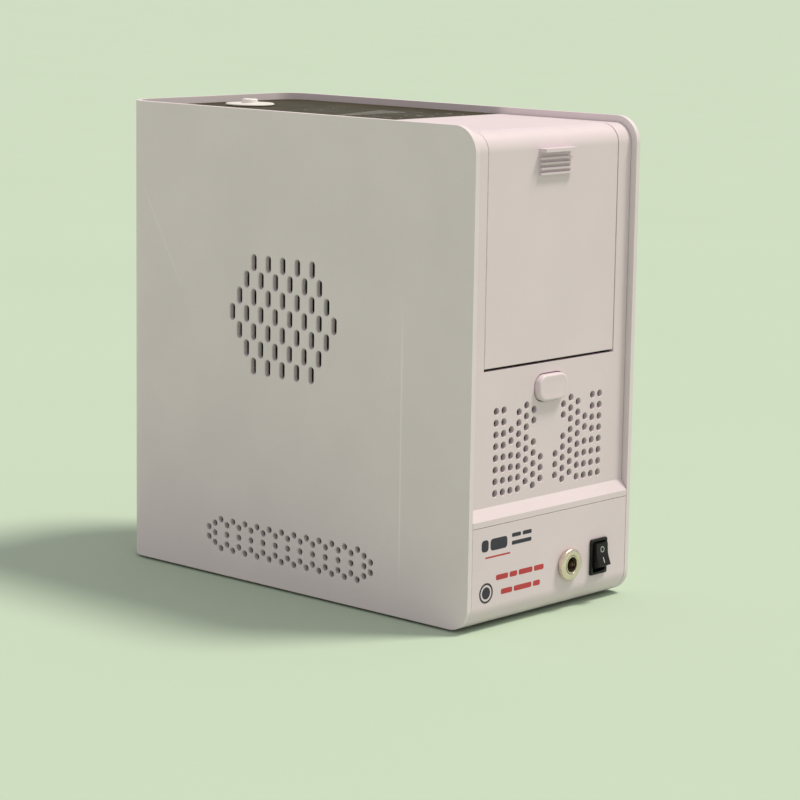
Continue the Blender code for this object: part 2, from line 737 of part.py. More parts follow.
def make_flush_valve():
    half_x, half_z = VALVE_HALF
    low = (-half_x, behind(VALVE_FRONT), BUTTON_HEIGHT - half_z)
    high = (half_x, behind(VALVE_END), BUTTON_HEIGHT + half_z)
    valve = box("flush_valve", low, high, "aluminium")
    bore = solid_profile(STEM_RADIUS + VALVE_BORE_SLACK, behind(VALVE_FRONT - 0.002), behind(VALVE_BORE_END))
    cut(valve, turned("valve_bore", bore, (0.0, 0.0, BUTTON_HEIGHT), "Y", 12))


# --- Power inlet and power switch --------------------------------------------------------------

RING_INNER = 0.0054
RING_OUTER = 0.0091
BARREL_INNER = 0.0042
BARREL_OUTER = 0.0051
BARREL_END = 0.016
INSULATOR_RADIUS = 0.0075
INSULATOR_START = 0.0165
INSULATOR_END = 0.024
INLET_PIN_RADIUS = 0.001
INLET_PIN_START = 0.0025
INLET_PIN_END = 0.0162

BEZEL_HALF = (0.0075, 0.0105)
BEZEL_REACH = 0.0015
CORE_HALF = (0.0063, 0.0093)
CORE_END = 0.016
WELL_HALF = (0.0053, 0.0087)
WELL_END = 0.0075
TERMINAL_OFFSET = 0.005
TERMINAL_HALF = (0.0024, 0.0004)
TERMINAL_END = 0.024
ROCKER_HALF_WIDTH = 0.005
ROCKER_VALLEY_OUT = 0.0069
ROCKER_SKIRT = (0.003, 0.0076)
ROCKER_BACK = (-0.0015, 0.003)


def make_inlet():
    centre = (INLET_X, FRONT, INLET_HEIGHT)
    turned("inlet_ring", ring_profile(RING_INNER, RING_OUTER, -INLET_REACH, -GAP), centre, "Y", 24, "nickel")
    barrel = ring_profile(BARREL_INNER, BARREL_OUTER, -INLET_REACH + 0.0001, BARREL_END)
    turned("inlet_barrel", barrel, centre, "Y", 20, "nickel")
    plug = solid_profile(INSULATOR_RADIUS, INSULATOR_START, INSULATOR_END)
    turned("inlet_insulator", plug, centre, "Y", 20, "black_plastic")
    pin = solid_profile(INLET_PIN_RADIUS, INLET_PIN_START, INLET_PIN_END)
    turned("inlet_pin", pin, centre, "Y", 12, "nickel")


def rocker_profile():
    """The rocker from the side, tilted to its off position, with the lower lobe out."""
    upper = [
        (ROCKER_TIP_OUT, ROCKER_HALF),
        (ROCKER_SKIRT[0], ROCKER_SKIRT[1]),
        (ROCKER_BACK[0], ROCKER_BACK[1]),
    ]
    lower = [(out, -z) for out, z in upper]
    points = []
    for out, z in [(ROCKER_VALLEY_OUT, 0.0)] + lower + upper[::-1]:
        y = -out * math.cos(ROCKER_TILT) + z * math.sin(ROCKER_TILT)
        height = z * math.cos(ROCKER_TILT) + out * math.sin(ROCKER_TILT)
        points.append((y + behind(ROCKER_PIVOT_BEHIND), height + SWITCH_HEIGHT))
    return points


def centred_box(name, half, start, end, finish=None):
    """A box about the switch's centre line."""
    low = (SWITCH_X - half[0], start, SWITCH_HEIGHT - half[1])
    high = (SWITCH_X + half[0], end, SWITCH_HEIGHT + half[1])
    return box(name, low, high, finish)


def make_switch():
    bezel_front = behind(-BEZEL_REACH)
    body = centred_box("switch_body", BEZEL_HALF, bezel_front, behind(-GAP), "black_plastic")
    unite(body, centred_box("switch_core", CORE_HALF, behind(-0.001), behind(CORE_END)))
    cut(body, centred_box("switch_hollow", WELL_HALF, bezel_front - 0.002, behind(WELL_END)))
    tabs = []
    for z in (SWITCH_HEIGHT - TERMINAL_OFFSET, SWITCH_HEIGHT + TERMINAL_OFFSET):
        low = (SWITCH_X - TERMINAL_HALF[0], behind(CORE_END - 0.001), z - TERMINAL_HALF[1])
        tabs.append((low, (SWITCH_X + TERMINAL_HALF[0], behind(TERMINAL_END), z + TERMINAL_HALF[1])))
    unite(body, boxes("switch_terminals", tabs))
    left = SWITCH_X - ROCKER_HALF_WIDTH
    right = SWITCH_X + ROCKER_HALF_WIDTH
    rocker = prism("switch_rocker", rocker_profile(), "X", left, right, "black_plastic")
    set_origin(rocker, SWITCH_X, behind(ROCKER_PIVOT_BEHIND), SWITCH_HEIGHT)


# --- Top: deck, touch panel, filler cap --------------------------------------------------------

DECK_BOTTOM = 0.2695
NECK_RADIUS = 0.009
NECK_BORE = 0.0065
NECK_BOTTOM = 0.2405
STEM_CLEARANCE = 0.0004
CAP_STEM_BOTTOM = DECK_TOP - 0.011
SEAL_GROOVE_LOW = DECK_TOP - 0.0075
SEAL_GROOVE_HIGH = DECK_TOP - 0.0055
SEAL_GROOVE_RADIUS = NECK_BORE - 0.0016
SEAL_SLACK = 0.0002
CAP_SIDES = 20


def make_deck():
    rear_radius = REAR_CORNER_RADIUS - WALL - GAP
    deck_back = BACK - WALL - GAP
    outline = plan_outline(PANEL_X, behind(FRONT_TOP_RADIUS + GAP), deck_back, rear_radius)
    deck = prism("top_deck", outline, "Z", DECK_BOTTOM, DECK_TOP, "fascia")
    pocket_low = (-INTO_AIR, behind(TOUCH_FRONT - GAP), DECK_TOP - TOUCH_THICKNESS - GAP)
    cut(deck, box("touch_pocket", pocket_low, (INTO_AIR, BACK + CUT_PAST, DECK_TOP + CUT_PAST)))
    neck_hole = circle((0.0, behind(CAP_BEHIND)), NECK_RADIUS + GAP, 24)
    neck_cutter = prism("neck_cutter", neck_hole, "Z", DECK_BOTTOM - CUT_PAST, DECK_TOP + CUT_PAST)
    cut(deck, neck_cutter)
    outline = plan_outline(PANEL_X, behind(TOUCH_FRONT), deck_back, rear_radius)
    panel = prism("touch_panel", outline, "Z", DECK_TOP - TOUCH_THICKNESS, DECK_TOP, "touch_glass")
    cut(panel, neck_cutter)


def make_filler():
    """The filler cap lifts out of a neck that stands on the vaporizer tank."""
    centre = (0.0, behind(CAP_BEHIND), 0.0)
    disc_low = DECK_TOP + GAP
    disc_high = disc_low + CAP_THICKNESS
    stem = NECK_BORE - STEM_CLEARANCE
    groove = SEAL_GROOVE_RADIUS
    cap = [(0.0, CAP_STEM_BOTTOM), (stem, CAP_STEM_BOTTOM), (stem, SEAL_GROOVE_LOW), (groove, SEAL_GROOVE_LOW)]
    cap += [(groove, SEAL_GROOVE_HIGH), (stem, SEAL_GROOVE_HIGH), (stem, disc_low), (CAP_RADIUS, disc_low)]
    cap += [(CAP_RADIUS, disc_high), (HUB_RADIUS, disc_high), (HUB_RADIUS, HUB_TOP), (0.0, HUB_TOP)]
    turned("filler_cap", cap, centre, "Z", CAP_SIDES, "cap")
    seal_inner = groove + SEAL_SLACK / 2
    seal_outer = NECK_BORE - SEAL_SLACK / 2
    seal = ring_profile(seal_inner, seal_outer, SEAL_GROOVE_LOW + SEAL_SLACK, SEAL_GROOVE_HIGH - SEAL_SLACK)
    turned("cap_seal", seal, centre, "Z", CAP_SIDES, "rubber")
    neck = ring_profile(NECK_BORE, NECK_RADIUS, NECK_BOTTOM, DECK_TOP - SEAL_SLACK / 2)
    turned("filler_neck", neck, centre, "Z", 24, "grey_plastic")


# --- Vaporizer ---------------------------------------------------------------------------------

TANK_BEHIND = CAP_BEHIND - 0.012
TANK_RADIUS = 0.031
TANK_LOW = 0.196
TANK_HIGH = NECK_BOTTOM - GAP
TANK_WALL = 0.0025
TANK_SIDES = 24
WICK_INNER = 0.025
WICK_OUTER = 0.028
WICK_HIGH = 0.231
BLOCK_HALF = 0.028
BLOCK_LOW = 0.164
BLOCK_PORT = (0.015, 0.0035)
BLOCK_PORT_LOW = 0.154


def make_vaporizer():
    centre = (0.0, behind(TANK_BEHIND), 0.0)
    outside = solid_profile(TANK_RADIUS, TANK_LOW, TANK_HIGH)
    tank = turned("vaporizer_tank", outside, centre, "Z", TANK_SIDES, "aluminium")
    inside = solid_profile(TANK_RADIUS - TANK_WALL, TANK_LOW + TANK_WALL, TANK_HIGH - TANK_WALL)
    hollow = turned("tank_hollow", inside, centre, "Z", TANK_SIDES)
    neck_opening = circle((0.0, behind(CAP_BEHIND)), NECK_BORE, 20)
    unite(hollow, prism("tank_opening", neck_opening, "Z", WICK_HIGH - 0.001, TANK_HIGH + 0.0048))
    cut(tank, hollow)
    wick = ring_profile(WICK_INNER, WICK_OUTER, TANK_LOW + TANK_WALL + 0.0005, WICK_HIGH)
    turned("vaporizer_wick", wick, centre, "Z", TANK_SIDES, "granules")
    low = (-BLOCK_HALF, centre[1] - BLOCK_HALF, BLOCK_LOW)
    high = (BLOCK_HALF, centre[1] + BLOCK_HALF, TANK_LOW - GAP)
    block = box("vaporizer_block", low, high, "aluminium")
    offset, radius = BLOCK_PORT
    for side, name in ((-1, "in"), (1, "out")):
        place_of_port = (side * offset, centre[1] - offset, 0.0)
        port = solid_profile(radius, BLOCK_PORT_LOW, BLOCK_LOW + 0.002)
        unite(block, turned("block_port_" + name, port, place_of_port, "Z", 12))


# --- Gas circuit -------------------------------------------------------------------------------

FITTING_WALL = 0.0028
FITTING_FLANGE = 0.0035
FLANGE_THICKNESS = 0.003
FITTING_INSIDE = 0.014
FITTING_TAPER = 0.0008
NUT_THICKNESS = 0.0045
NUT_WIDER = 0.0045

PUMP_X = -0.030
PUMP_HEIGHT = 0.034
MOTOR_RADIUS = 0.017
MOTOR_SPAN = (0.176, 0.2195)
HEAD_HALF = (0.020, 0.021)
HEAD_SPAN = (0.220, 0.240)
PUMP_PORT_X = PUMP_X + 0.010
PUMP_PORT_BEHIND = 0.230
PUMP_PORT_RADIUS = 0.0025
PUMP_PORT_TOP = PUMP_HEIGHT + 0.029
CRADLE_HALF = 0.021
CRADLE_SPAN = (0.180, 0.215)
CRADLE_TOP = 0.03

MANIFOLD_LOW = (0.010, 0.150, 0.096)
MANIFOLD_HIGH = (0.046, 0.210, 0.116)
MANIFOLD_PORTS_X = (0.018, 0.028, 0.038)
MANIFOLD_PORTS_BEHIND = 0.160
MANIFOLD_PORT_RADIUS = 0.0032
MANIFOLD_PORT_LOW = 0.086
VALVE_STEM_PLACE = (0.028, 0.190)
VALVE_STEM_RADIUS = 0.006
VALVE_STEM_TOP = 0.146
COIL_RADII = (0.0064, 0.0125)
COIL_SPAN = (0.120, 0.142)


def make_rear_fittings():
    """Each fitting is a flanged tube through the rear wall, open right through."""
    for name, (x, z, radius) in REAR_FITTINGS.items():
        bore = radius - FITTING_WALL
        flange = radius + FITTING_FLANGE
        inside = -FITTING_INSIDE
        profile = [(bore, inside), (radius - 0.001, inside), (radius, inside + 0.002), (radius, GAP), (flange, GAP)]
        profile += [(flange, FLANGE_THICKNESS), (radius, FLANGE_THICKNESS), (radius - FITTING_TAPER, FITTING_REACH)]
        profile += [(bore, FITTING_REACH)]
        turned(name, profile, (x, BACK, z), "Y", 20, "nickel" if name == "oxygen_inlet" else "aluminium")
        nut_front = BACK - WALL - NUT_THICKNESS
        hexagon = circle((x, z), radius + NUT_WIDER, 6)
        nut = prism(name + "_nut", hexagon, "Y", nut_front, BACK - WALL - GAP, "steel")
        nut_hole = circle((x, z), radius + GAP, 20)
        cut(nut, prism(name + "_nut_cutter", nut_hole, "Y", nut_front - 0.002, BACK))


def make_pump():
    axis = (PUMP_X, 0.0, PUMP_HEIGHT)
    start, end = MOTOR_SPAN
    turned("pump_motor", solid_profile(MOTOR_RADIUS, behind(start), behind(end)), axis, "Y", 24, "steel")
    half_x, half_z = HEAD_HALF
    low = (PUMP_X - half_x, behind(HEAD_SPAN[0]), PUMP_HEIGHT - half_z)
    high = (PUMP_X + half_x, behind(HEAD_SPAN[1]), PUMP_HEIGHT + half_z)
    head = box("pump_head", low, high, "grey_plastic")
    port = solid_profile(PUMP_PORT_RADIUS, PUMP_HEIGHT + half_z - 0.001, PUMP_PORT_TOP)
    unite(head, turned("pump_port", port, (PUMP_PORT_X, behind(PUMP_PORT_BEHIND), 0.0), "Z", 10))
    low = (PUMP_X - CRADLE_HALF, behind(CRADLE_SPAN[0]), STANDOFF + PLATE + GAP)
    cradle = box("pump_cradle", low, (PUMP_X + CRADLE_HALF, behind(CRADLE_SPAN[1]), CRADLE_TOP), "rubber")
    seat = solid_profile(MOTOR_RADIUS + GAP, behind(start - CUT_PAST), behind(end + CUT_PAST))
    cut(cradle, turned("cradle_cutter", seat, axis, "Y", 24))


def make_manifold():
    low = (MANIFOLD_LOW[0], behind(MANIFOLD_LOW[1]), MANIFOLD_LOW[2])
    manifold = box("gas_manifold", low, (MANIFOLD_HIGH[0], behind(MANIFOLD_HIGH[1]), MANIFOLD_HIGH[2]), "aluminium")
    centres = [(x, behind(MANIFOLD_PORTS_BEHIND)) for x in MANIFOLD_PORTS_X]
    ports = [circle(centre, MANIFOLD_PORT_RADIUS, 10) for centre in centres]
    unite(manifold, prisms("manifold_ports", ports, "Z", MANIFOLD_PORT_LOW, MANIFOLD_LOW[2] + 0.001))
    centre = (VALVE_STEM_PLACE[0], behind(VALVE_STEM_PLACE[1]), 0.0)
    stem = solid_profile(VALVE_STEM_RADIUS, MANIFOLD_HIGH[2] + GAP, VALVE_STEM_TOP)
    turned("solenoid_valve", stem, centre, "Z", 16, "steel")
    turned("solenoid_coil", ring_profile(*COIL_RADII, *COIL_SPAN), centre, "Z", 20, "copper")


HOSE_RADIUS = 0.003
PUMP_HOSE_RADIUS = 0.0022
HOSE_END_GAP = 0.0008


def make_hoses():
    """Silicone tubes, each made whole between the two ends that hold it."""
    block_port_y = behind(TANK_BEHIND) - BLOCK_PORT[0]
    block_port_x = BLOCK_PORT[0]
    block_end = BLOCK_PORT_LOW - HOSE_END_GAP
    oxygen_x, oxygen_z, _ = REAR_FITTINGS["oxygen_inlet"]
    fresh_x, fresh_z, _ = REAR_FITTINGS["fresh_gas_outlet"]
    start = BACK - FITTING_INSIDE - 0.0005
    manifold_y = behind(MANIFOLD_PORTS_BEHIND)
    manifold_x = MANIFOLD_PORTS_X[0]
    hose(
        "hose_oxygen",
        [(oxygen_x, start, oxygen_z), (oxygen_x, start - 0.012, oxygen_z + 0.002), (-0.030, behind(0.225), 0.080),
         (0.0, behind(0.170), 0.066), (manifold_x, manifold_y, 0.074), (manifold_x, manifold_y, 0.085)],
        HOSE_RADIUS,
    )
    hose(
        "hose_fresh_gas",
        [(block_port_x, block_port_y, block_end), (block_port_x, block_port_y, 0.141),
         (0.008, behind(TANK_BEHIND - 0.002), 0.106), (fresh_x, start - 0.012, 0.068),
         (fresh_x, start - 0.006, fresh_z), (fresh_x, start, fresh_z)],
        HOSE_RADIUS,
    )
    pump_y = behind(PUMP_PORT_BEHIND)
    hose(
        "hose_pump",
        [(PUMP_PORT_X, pump_y, PUMP_PORT_TOP + HOSE_END_GAP), (PUMP_PORT_X, pump_y, 0.076),
         (-0.024, behind(0.215), 0.110), (-block_port_x, block_port_y, 0.142),
         (-block_port_x, block_port_y, block_end)],
        PUMP_HOSE_RADIUS,
    )


# --- Fan, loudspeaker, boards ------------------------------------------------------------------

DUCT_RADIUS = 0.038
FAN_CORNER = 0.004
ARM_THICKNESS = 0.0018
ARM_HALF = 0.0015
ARM_REACH = 0.0395
FAN_MOUNT_RADIUS = 0.013
FAN_HUB_RADIUS = 0.0135
BLADE_SPAN = (0.0125, 0.0365)
BLADE_HALF_CHORD = 0.0072
BLADE_HALF_THICKNESS = 0.0006
BLADE_PITCH = math.radians(38.0)


def make_fan_frame():
    y = behind(HEX_VENT_BEHIND)
    z = HEX_VENT_HEIGHT
    outer = FAN_OUTER_X
    inner = FAN_OUTER_X + FAN_DEPTH
    arm_outer = inner - ARM_THICKNESS
    outline = rounded_rectangle((y, z), FAN_HALF, FAN_HALF, FAN_CORNER, 2)
    frame = prism("fan_frame", outline, "X", outer, inner, "black_plastic")
    duct = circle((y, z), DUCT_RADIUS, 32)
    cut(frame, prism("fan_duct", duct, "X", outer - CUT_PAST, inner + CUT_PAST))
    level = ((arm_outer, y - ARM_REACH, z - ARM_HALF), (inner, y + ARM_REACH, z + ARM_HALF))
    upright = ((arm_outer, y - ARM_HALF, z - ARM_REACH), (inner, y + ARM_HALF, z + ARM_REACH))
    spider = boxes("fan_arm_level", [level])
    unite(spider, boxes("fan_arm_upright", [upright]))
    unite(spider, prism("fan_mount", circle((y, z), FAN_MOUNT_RADIUS, 16), "X", arm_outer, inner))
    unite(frame, spider)


def make_impeller():
    y = behind(HEX_VENT_BEHIND)
    z = HEX_VENT_HEIGHT
    hub_start = FAN_OUTER_X + 0.001
    hub_end = FAN_OUTER_X + FAN_DEPTH - ARM_THICKNESS - 0.0004
    hub = solid_profile(FAN_HUB_RADIUS, hub_start, hub_end)
    impeller = turned("fan_impeller", hub, (0.0, y, z), "X", 20, "black_plastic")
    pitch = Matrix.Rotation(BLADE_PITCH, 4, "Z")
    middle = Matrix.Translation(((hub_start + hub_end) / 2, y, z))
    bm = bmesh.new()
    for blade in range(FAN_BLADES):
        turn = Matrix.Rotation(2 * math.pi * blade / FAN_BLADES, 4, "X")
        corners = []
        for along in BLADE_SPAN:
            for chord, thick in ((-1, -1), (1, -1), (1, 1), (-1, 1)):
                offset = pitch @ Vector((thick * BLADE_HALF_THICKNESS, chord * BLADE_HALF_CHORD, 0.0))
                corners.append(bm.verts.new(middle @ turn @ (offset + Vector((0.0, 0.0, along)))))
        low, high = corners[:4], corners[4:]
        bm.faces.new(low[::-1])
        bm.faces.new(high)
        for index in range(4):
            after = (index + 1) % 4
            bm.faces.new((low[index], low[after], high[after], high[index]))
    unite(impeller, add_object("fan_blades", bm))
    set_origin(impeller, (hub_start + hub_end) / 2, y, z)


SPEAKER_HEIGHT = 0.094
SPEAKER_SIDES = 24
SPEAKER_PROFILE = (
    (0.0, 0.004), (0.009, 0.0045), (0.019, 0.001), (0.021, 0.0), (0.0235, 0.0), (0.0235, 0.0025),
    (0.012, 0.013), (0.012, 0.022), (0.0, 0.022),
)


def make_loudspeaker():
    """A cone that faces the grille, with its basket and magnet behind it."""
    centre = (0.0, behind(RIM + PLATE + 2 * GAP), SPEAKER_HEIGHT)
    turned("loudspeaker", SPEAKER_PROFILE, centre, "Y", SPEAKER_SIDES, "black_plastic")


BOARD_THICKNESS = 0.0016
MAIN_BOARD_X = 0.0595
MAIN_BOARD_SPAN = (0.100, 0.235)
MAIN_BOARD_HEIGHTS = (0.130, 0.235)
POWER_BOARD_LOW = 0.012
POWER_BOARD_X = (0.006, 0.062)
POWER_BOARD_SPAN = (0.040, 0.140)
TOUCH_BOARD_HALF = 0.050
TOUCH_BOARD_SPAN = (0.112, 0.212)
TOUCH_BOARD_LOW = 0.2655

# Parts on the main board: distance behind, height, length, tallness, rise off the board.
MAIN_BOARD_PARTS = (
    (0.112, 0.150, 0.018, 0.018, 0.003), (0.150, 0.146, 0.024, 0.012, 0.005), (0.190, 0.150, 0.012, 0.016, 0.004),
    (0.112, 0.190, 0.014, 0.030, 0.006), (0.145, 0.185, 0.030, 0.030, 0.003), (0.200, 0.195, 0.020, 0.020, 0.008),
)
# Parts on the power board: X, distance behind, width, length, rise off the board.
POWER_BOARD_PARTS = (
    (0.012, 0.050, 0.026, 0.024, 0.022), (0.044, 0.050, 0.012, 0.020, 0.016), (0.012, 0.084, 0.016, 0.030, 0.012),
    (0.036, 0.082, 0.020, 0.034, 0.018), (0.014, 0.122, 0.040, 0.010, 0.010),
)


def make_main_board():
    x = MAIN_BOARD_X
    low = (x, behind(MAIN_BOARD_SPAN[0]), MAIN_BOARD_HEIGHTS[0])
    high = (x + BOARD_THICKNESS, behind(MAIN_BOARD_SPAN[1]), MAIN_BOARD_HEIGHTS[1])
    board = box("main_board", low, high, "circuit_board")
    parts = []
    for distance, z, length, tall, rise in MAIN_BOARD_PARTS:
        parts.append(((x - rise, behind(distance), z), (x + 0.0005, behind(distance + length), z + tall)))
    unite(board, boxes("main_board_parts", parts))


def make_power_board():
    bottom = POWER_BOARD_LOW
    low = (POWER_BOARD_X[0], behind(POWER_BOARD_SPAN[0]), bottom)
    high = (POWER_BOARD_X[1], behind(POWER_BOARD_SPAN[1]), bottom + BOARD_THICKNESS)
    board = box("power_board", low, high, "circuit_board")
    parts = []
    for x, distance, wide, length, rise in POWER_BOARD_PARTS:
        part_low = (x, behind(distance), bottom + 0.001)
        parts.append((part_low, (x + wide, behind(distance + length), bottom + rise)))
    unite(board, boxes("power_board_parts", parts))


def make_touch_board():
    low = (-TOUCH_BOARD_HALF, behind(TOUCH_BOARD_SPAN[0]), TOUCH_BOARD_LOW)
    high = (TOUCH_BOARD_HALF, behind(TOUCH_BOARD_SPAN[1]), TOUCH_BOARD_LOW + BOARD_THICKNESS)
    box("touch_board", low, high, "circuit_board")


clear_scene()
make_shell()
make_base()
make_chin()
make_fascia()
make_door()
make_door_catch()
make_bay()
make_canister()
make_button()
make_button_spring()
make_flush_valve()
make_inlet()
make_switch()
make_deck()
make_filler()
make_vaporizer()
make_rear_fittings()
make_pump()
make_manifold()
make_hoses()
make_fan_frame()
make_impeller()
make_loudspeaker()
make_main_board()
make_power_board()
make_touch_board()
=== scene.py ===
import json
import math

import bmesh
import bpy
from mathutils import Matrix, Vector


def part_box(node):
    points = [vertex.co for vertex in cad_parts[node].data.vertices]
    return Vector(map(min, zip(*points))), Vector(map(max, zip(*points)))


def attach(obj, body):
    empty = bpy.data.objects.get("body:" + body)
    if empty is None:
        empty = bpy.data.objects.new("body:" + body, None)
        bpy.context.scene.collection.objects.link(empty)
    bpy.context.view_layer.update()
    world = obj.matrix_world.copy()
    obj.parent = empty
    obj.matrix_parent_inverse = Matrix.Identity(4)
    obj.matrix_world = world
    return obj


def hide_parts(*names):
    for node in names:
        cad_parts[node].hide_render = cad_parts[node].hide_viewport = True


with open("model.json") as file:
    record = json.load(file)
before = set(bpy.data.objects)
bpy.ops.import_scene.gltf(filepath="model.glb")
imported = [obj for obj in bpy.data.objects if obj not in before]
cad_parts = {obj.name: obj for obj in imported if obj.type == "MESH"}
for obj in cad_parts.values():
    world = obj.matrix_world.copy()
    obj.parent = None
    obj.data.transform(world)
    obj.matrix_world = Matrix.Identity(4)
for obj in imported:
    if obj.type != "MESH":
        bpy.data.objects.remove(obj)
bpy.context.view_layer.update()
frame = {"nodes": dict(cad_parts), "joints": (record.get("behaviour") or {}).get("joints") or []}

# Places that the frame gives.
SHELL_LOW, SHELL_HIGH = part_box("outer_shell")
FRONT = SHELL_LOW.y
BACK = SHELL_HIGH.y
HALF = SHELL_HIGH.x
BOTTOM = SHELL_LOW.z
TOP = SHELL_HIGH.z
PANEL_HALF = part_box("chin_panel")[1].x
CHIN_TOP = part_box("chin_panel")[1].z
DECK_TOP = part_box("top_deck")[1].z
DECK_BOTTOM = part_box("top_deck")[0].z
TOUCH_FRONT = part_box("touch_panel")[0].y
TOUCH_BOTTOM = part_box("touch_panel")[0].z
DOOR_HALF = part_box("door")[1].x
DOOR_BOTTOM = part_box("door")[0].z
DOOR_JOINT = next(joint for joint in frame["joints"] if joint["child"] == "door")
HINGE_Y, HINGE_Z = DOOR_JOINT["pos_m"][1:]

# The casing's own sizes.
WALL = 0.0032
RIM = 0.004
PLATE = 0.0028
GAP = 0.0003
FRONT_TOP_RADIUS = 0.015
FRONT_BOTTOM_RADIUS = 0.013
REAR_BOTTOM_RADIUS = 0.009
REAR_CORNER_RADIUS = 0.018
LEDGE_BOTTOM = 0.0622
LEDGE_TOP = 0.0684
SILL = 0.14375


# Cutters reach this far past what they cut, and this far to each side.
PAST = 0.01
WIDE = 0.08


def behind(distance):
    """The Y of a point this far behind the front edge of the casing."""
    return FRONT + distance


def middle_of(name):
    low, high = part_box(name)
    return (low + high) / 2


def face_centre(name):
    """The middle of a node seen from the front, as X and Z."""
    low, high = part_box(name)
    return (low.x + high.x) / 2, (low.z + high.z) / 2


# --- Outlines ---


def arc(centre, radius, start, end, steps):
    """Points on an arc, angles in degrees, both ends included."""
    points = []
    for step in range(steps + 1):
        angle = math.radians(start + (end - start) * step / steps)
        points.append((centre[0] + radius * math.cos(angle), centre[1] + radius * math.sin(angle)))
    return points


def circle(centre, radius, sides):
    return arc(centre, radius, 0.0, 360.0 * (sides - 1) / sides, sides - 1)


def rounded_rectangle(centre, half_wide, half_tall, radius, steps=6):
    points = []
    for sign_a, sign_b, start in ((1, 1, 0), (-1, 1, 90), (-1, -1, 180), (1, -1, 270)):
        corner = (centre[0] + sign_a * (half_wide - radius), centre[1] + sign_b * (half_tall - radius))
        points += arc(corner, radius, start, start + 90, steps)
    return points


def plan_outline(half_width, front, back, radius, steps=14):
    """The casing from above: square front corners and round rear corners."""
    points = [(-half_width, front), (half_width, front)]
    points += arc((half_width - radius, back - radius), radius, 0, 90, steps)
    points += arc((-half_width + radius, back - radius), radius, 90, 180, steps)
    return points


def along(base, *pairs):
    """Part of a profile: pairs of radius and distance past a base, as radius and place on the axis."""
    return [(radius, base + distance) for radius, distance in pairs]


def tube(inner, outer, start, end):
    return [(inner, start), (outer, start), (outer, end), (inner, end)]


def place(axis, pair, position):
    """A point of an outline that is extruded along an axis; the outline's pair is in X, Y, Z order."""
    if axis == "X":
        return (position, pair[0], pair[1])
    if axis == "Y":
        return (pair[0], position, pair[1])
    return (pair[0], pair[1], position)


# --- Mesh tools ---


def loft(bm, rings, closed=False):
    """Join rings of points, each to the next; then cap both ends, or join the last to the first."""
    made = [[bm.verts.new(point) for point in ring] for ring in rings]
    for first, second in zip(made, made[1:] + (made[:1] if closed else [])):
        for index in range(len(first)):
            after = (index + 1) % len(first)
            bm.faces.new((first[index], first[after], second[after], second[index]))
    if not closed:
        bm.faces.new(made[0][::-1])
        bm.faces.new(made[-1])


def add_prism(bm, outline, axis, start, end):
    loft(bm, [[place(axis, pair, position) for pair in outline] for position in (start, end)])


def add_box(bm, low, high):
    outline = [(low[0], low[1]), (high[0], low[1]), (high[0], high[1]), (low[0], high[1])]
    add_prism(bm, outline, "Z", low[2], high[2])


def add_turned(bm, profile, centre, axis, sides, wave=None):
    """Turn a closed profile of (radius, distance along the axis); wave changes a point's radius by angle."""
    rings = []
    for step, (radius, position) in enumerate(profile):
        ring = []
        for index in range(sides if radius > 0.0 else 1):
            angle = 2 * math.pi * index / sides
            reach = radius + (wave(step, angle) if wave else 0.0)
            across = (reach * math.cos(angle), reach * math.sin(angle))
            ring.append(bm.verts.new(Vector(centre) + Vector(place(axis, across, position))))
        rings.append(ring)
    touches_axis = any(len(ring) == 1 for ring in rings)
    pairs = list(zip(rings, rings[1:])) + ([] if touches_axis else [(rings[-1], rings[0])])
    for first, second in pairs:
        for index in range(sides):
            after = (index + 1) % sides
            corners = [first[index % len(first)], first[after % len(first)]]
            corners += [second[after % len(second)], second[index % len(second)]]
            corners = list(dict.fromkeys(corners))
            if len(corners) > 2:
                bm.faces.new(corners)


def eased(profile, ease=0.0003, steps=2):
    """A closed profile with each corner cut round, except the ones on the axis."""
    points = []
    count = len(profile)
    for index, point in enumerate(profile):
        if point[0] <= 0.0:
            points.append(point)
            continue
        here = Vector(point)
        before = Vector(profile[index - 1]) - here
        after = Vector(profile[(index + 1) % count]) - here
        reach = min(ease, before.length * 0.45, after.length * 0.45)
        start = here + before.normalized() * reach
        end = here + after.normalized() * reach
        for step in range(steps + 1):
            t = step / steps
            bend = (1 - t) ** 2 * start + 2 * t * (1 - t) * here + t * t * end
            points.append((bend.x, bend.y))
    return points


def rod(radius, start, end, ease=0.0003):
    return eased(tube(0.0, radius, start, end), ease)


def soften(bm, width, segments=2, angle=30.0, pick=None):
    """Round off the sharp edges, and mark the new faces as the ones that wear first."""
    wear = bm.faces.layers.float.get("wear") or bm.faces.layers.float.new("wear")
    limit = math.radians(angle)
    edges = [
        edge for edge in bm.edges
        if len(edge.link_faces) == 2 and edge.calc_face_angle(0.0) > limit and (pick is None or pick(edge))
    ]
    made = bmesh.ops.bevel(
        bm, geom=edges, offset=width, segments=segments, profile=0.5, affect="EDGES", clamp_overlap=True
    )
    for face in made["faces"]:
        face[wear] = 1.0


def make_object(name, bm):
    bmesh.ops.recalc_face_normals(bm, faces=bm.faces)
    mesh = bpy.data.meshes.new(name)
    bm.to_mesh(mesh)
    bm.free()
    item = bpy.data.objects.new(name, mesh)
    bpy.context.scene.collection.objects.link(item)
    return item


def turned_object(name, profile, centre, axis, sides, wave=None):
    bm = bmesh.new()
    add_turned(bm, profile, centre, axis, sides, wave)
    return make_object(name, bm)


def prism_object(name, outline, axis, start, end):
    bm = bmesh.new()
    add_prism(bm, outline, axis, start, end)
    return make_object(name, bm)


def box_object(name, low, high, ease, segments, angle=30.0):
    bm = bmesh.new()
    add_box(bm, low, high)
    soften(bm, ease, segments, angle)
    return make_object(name, bm)


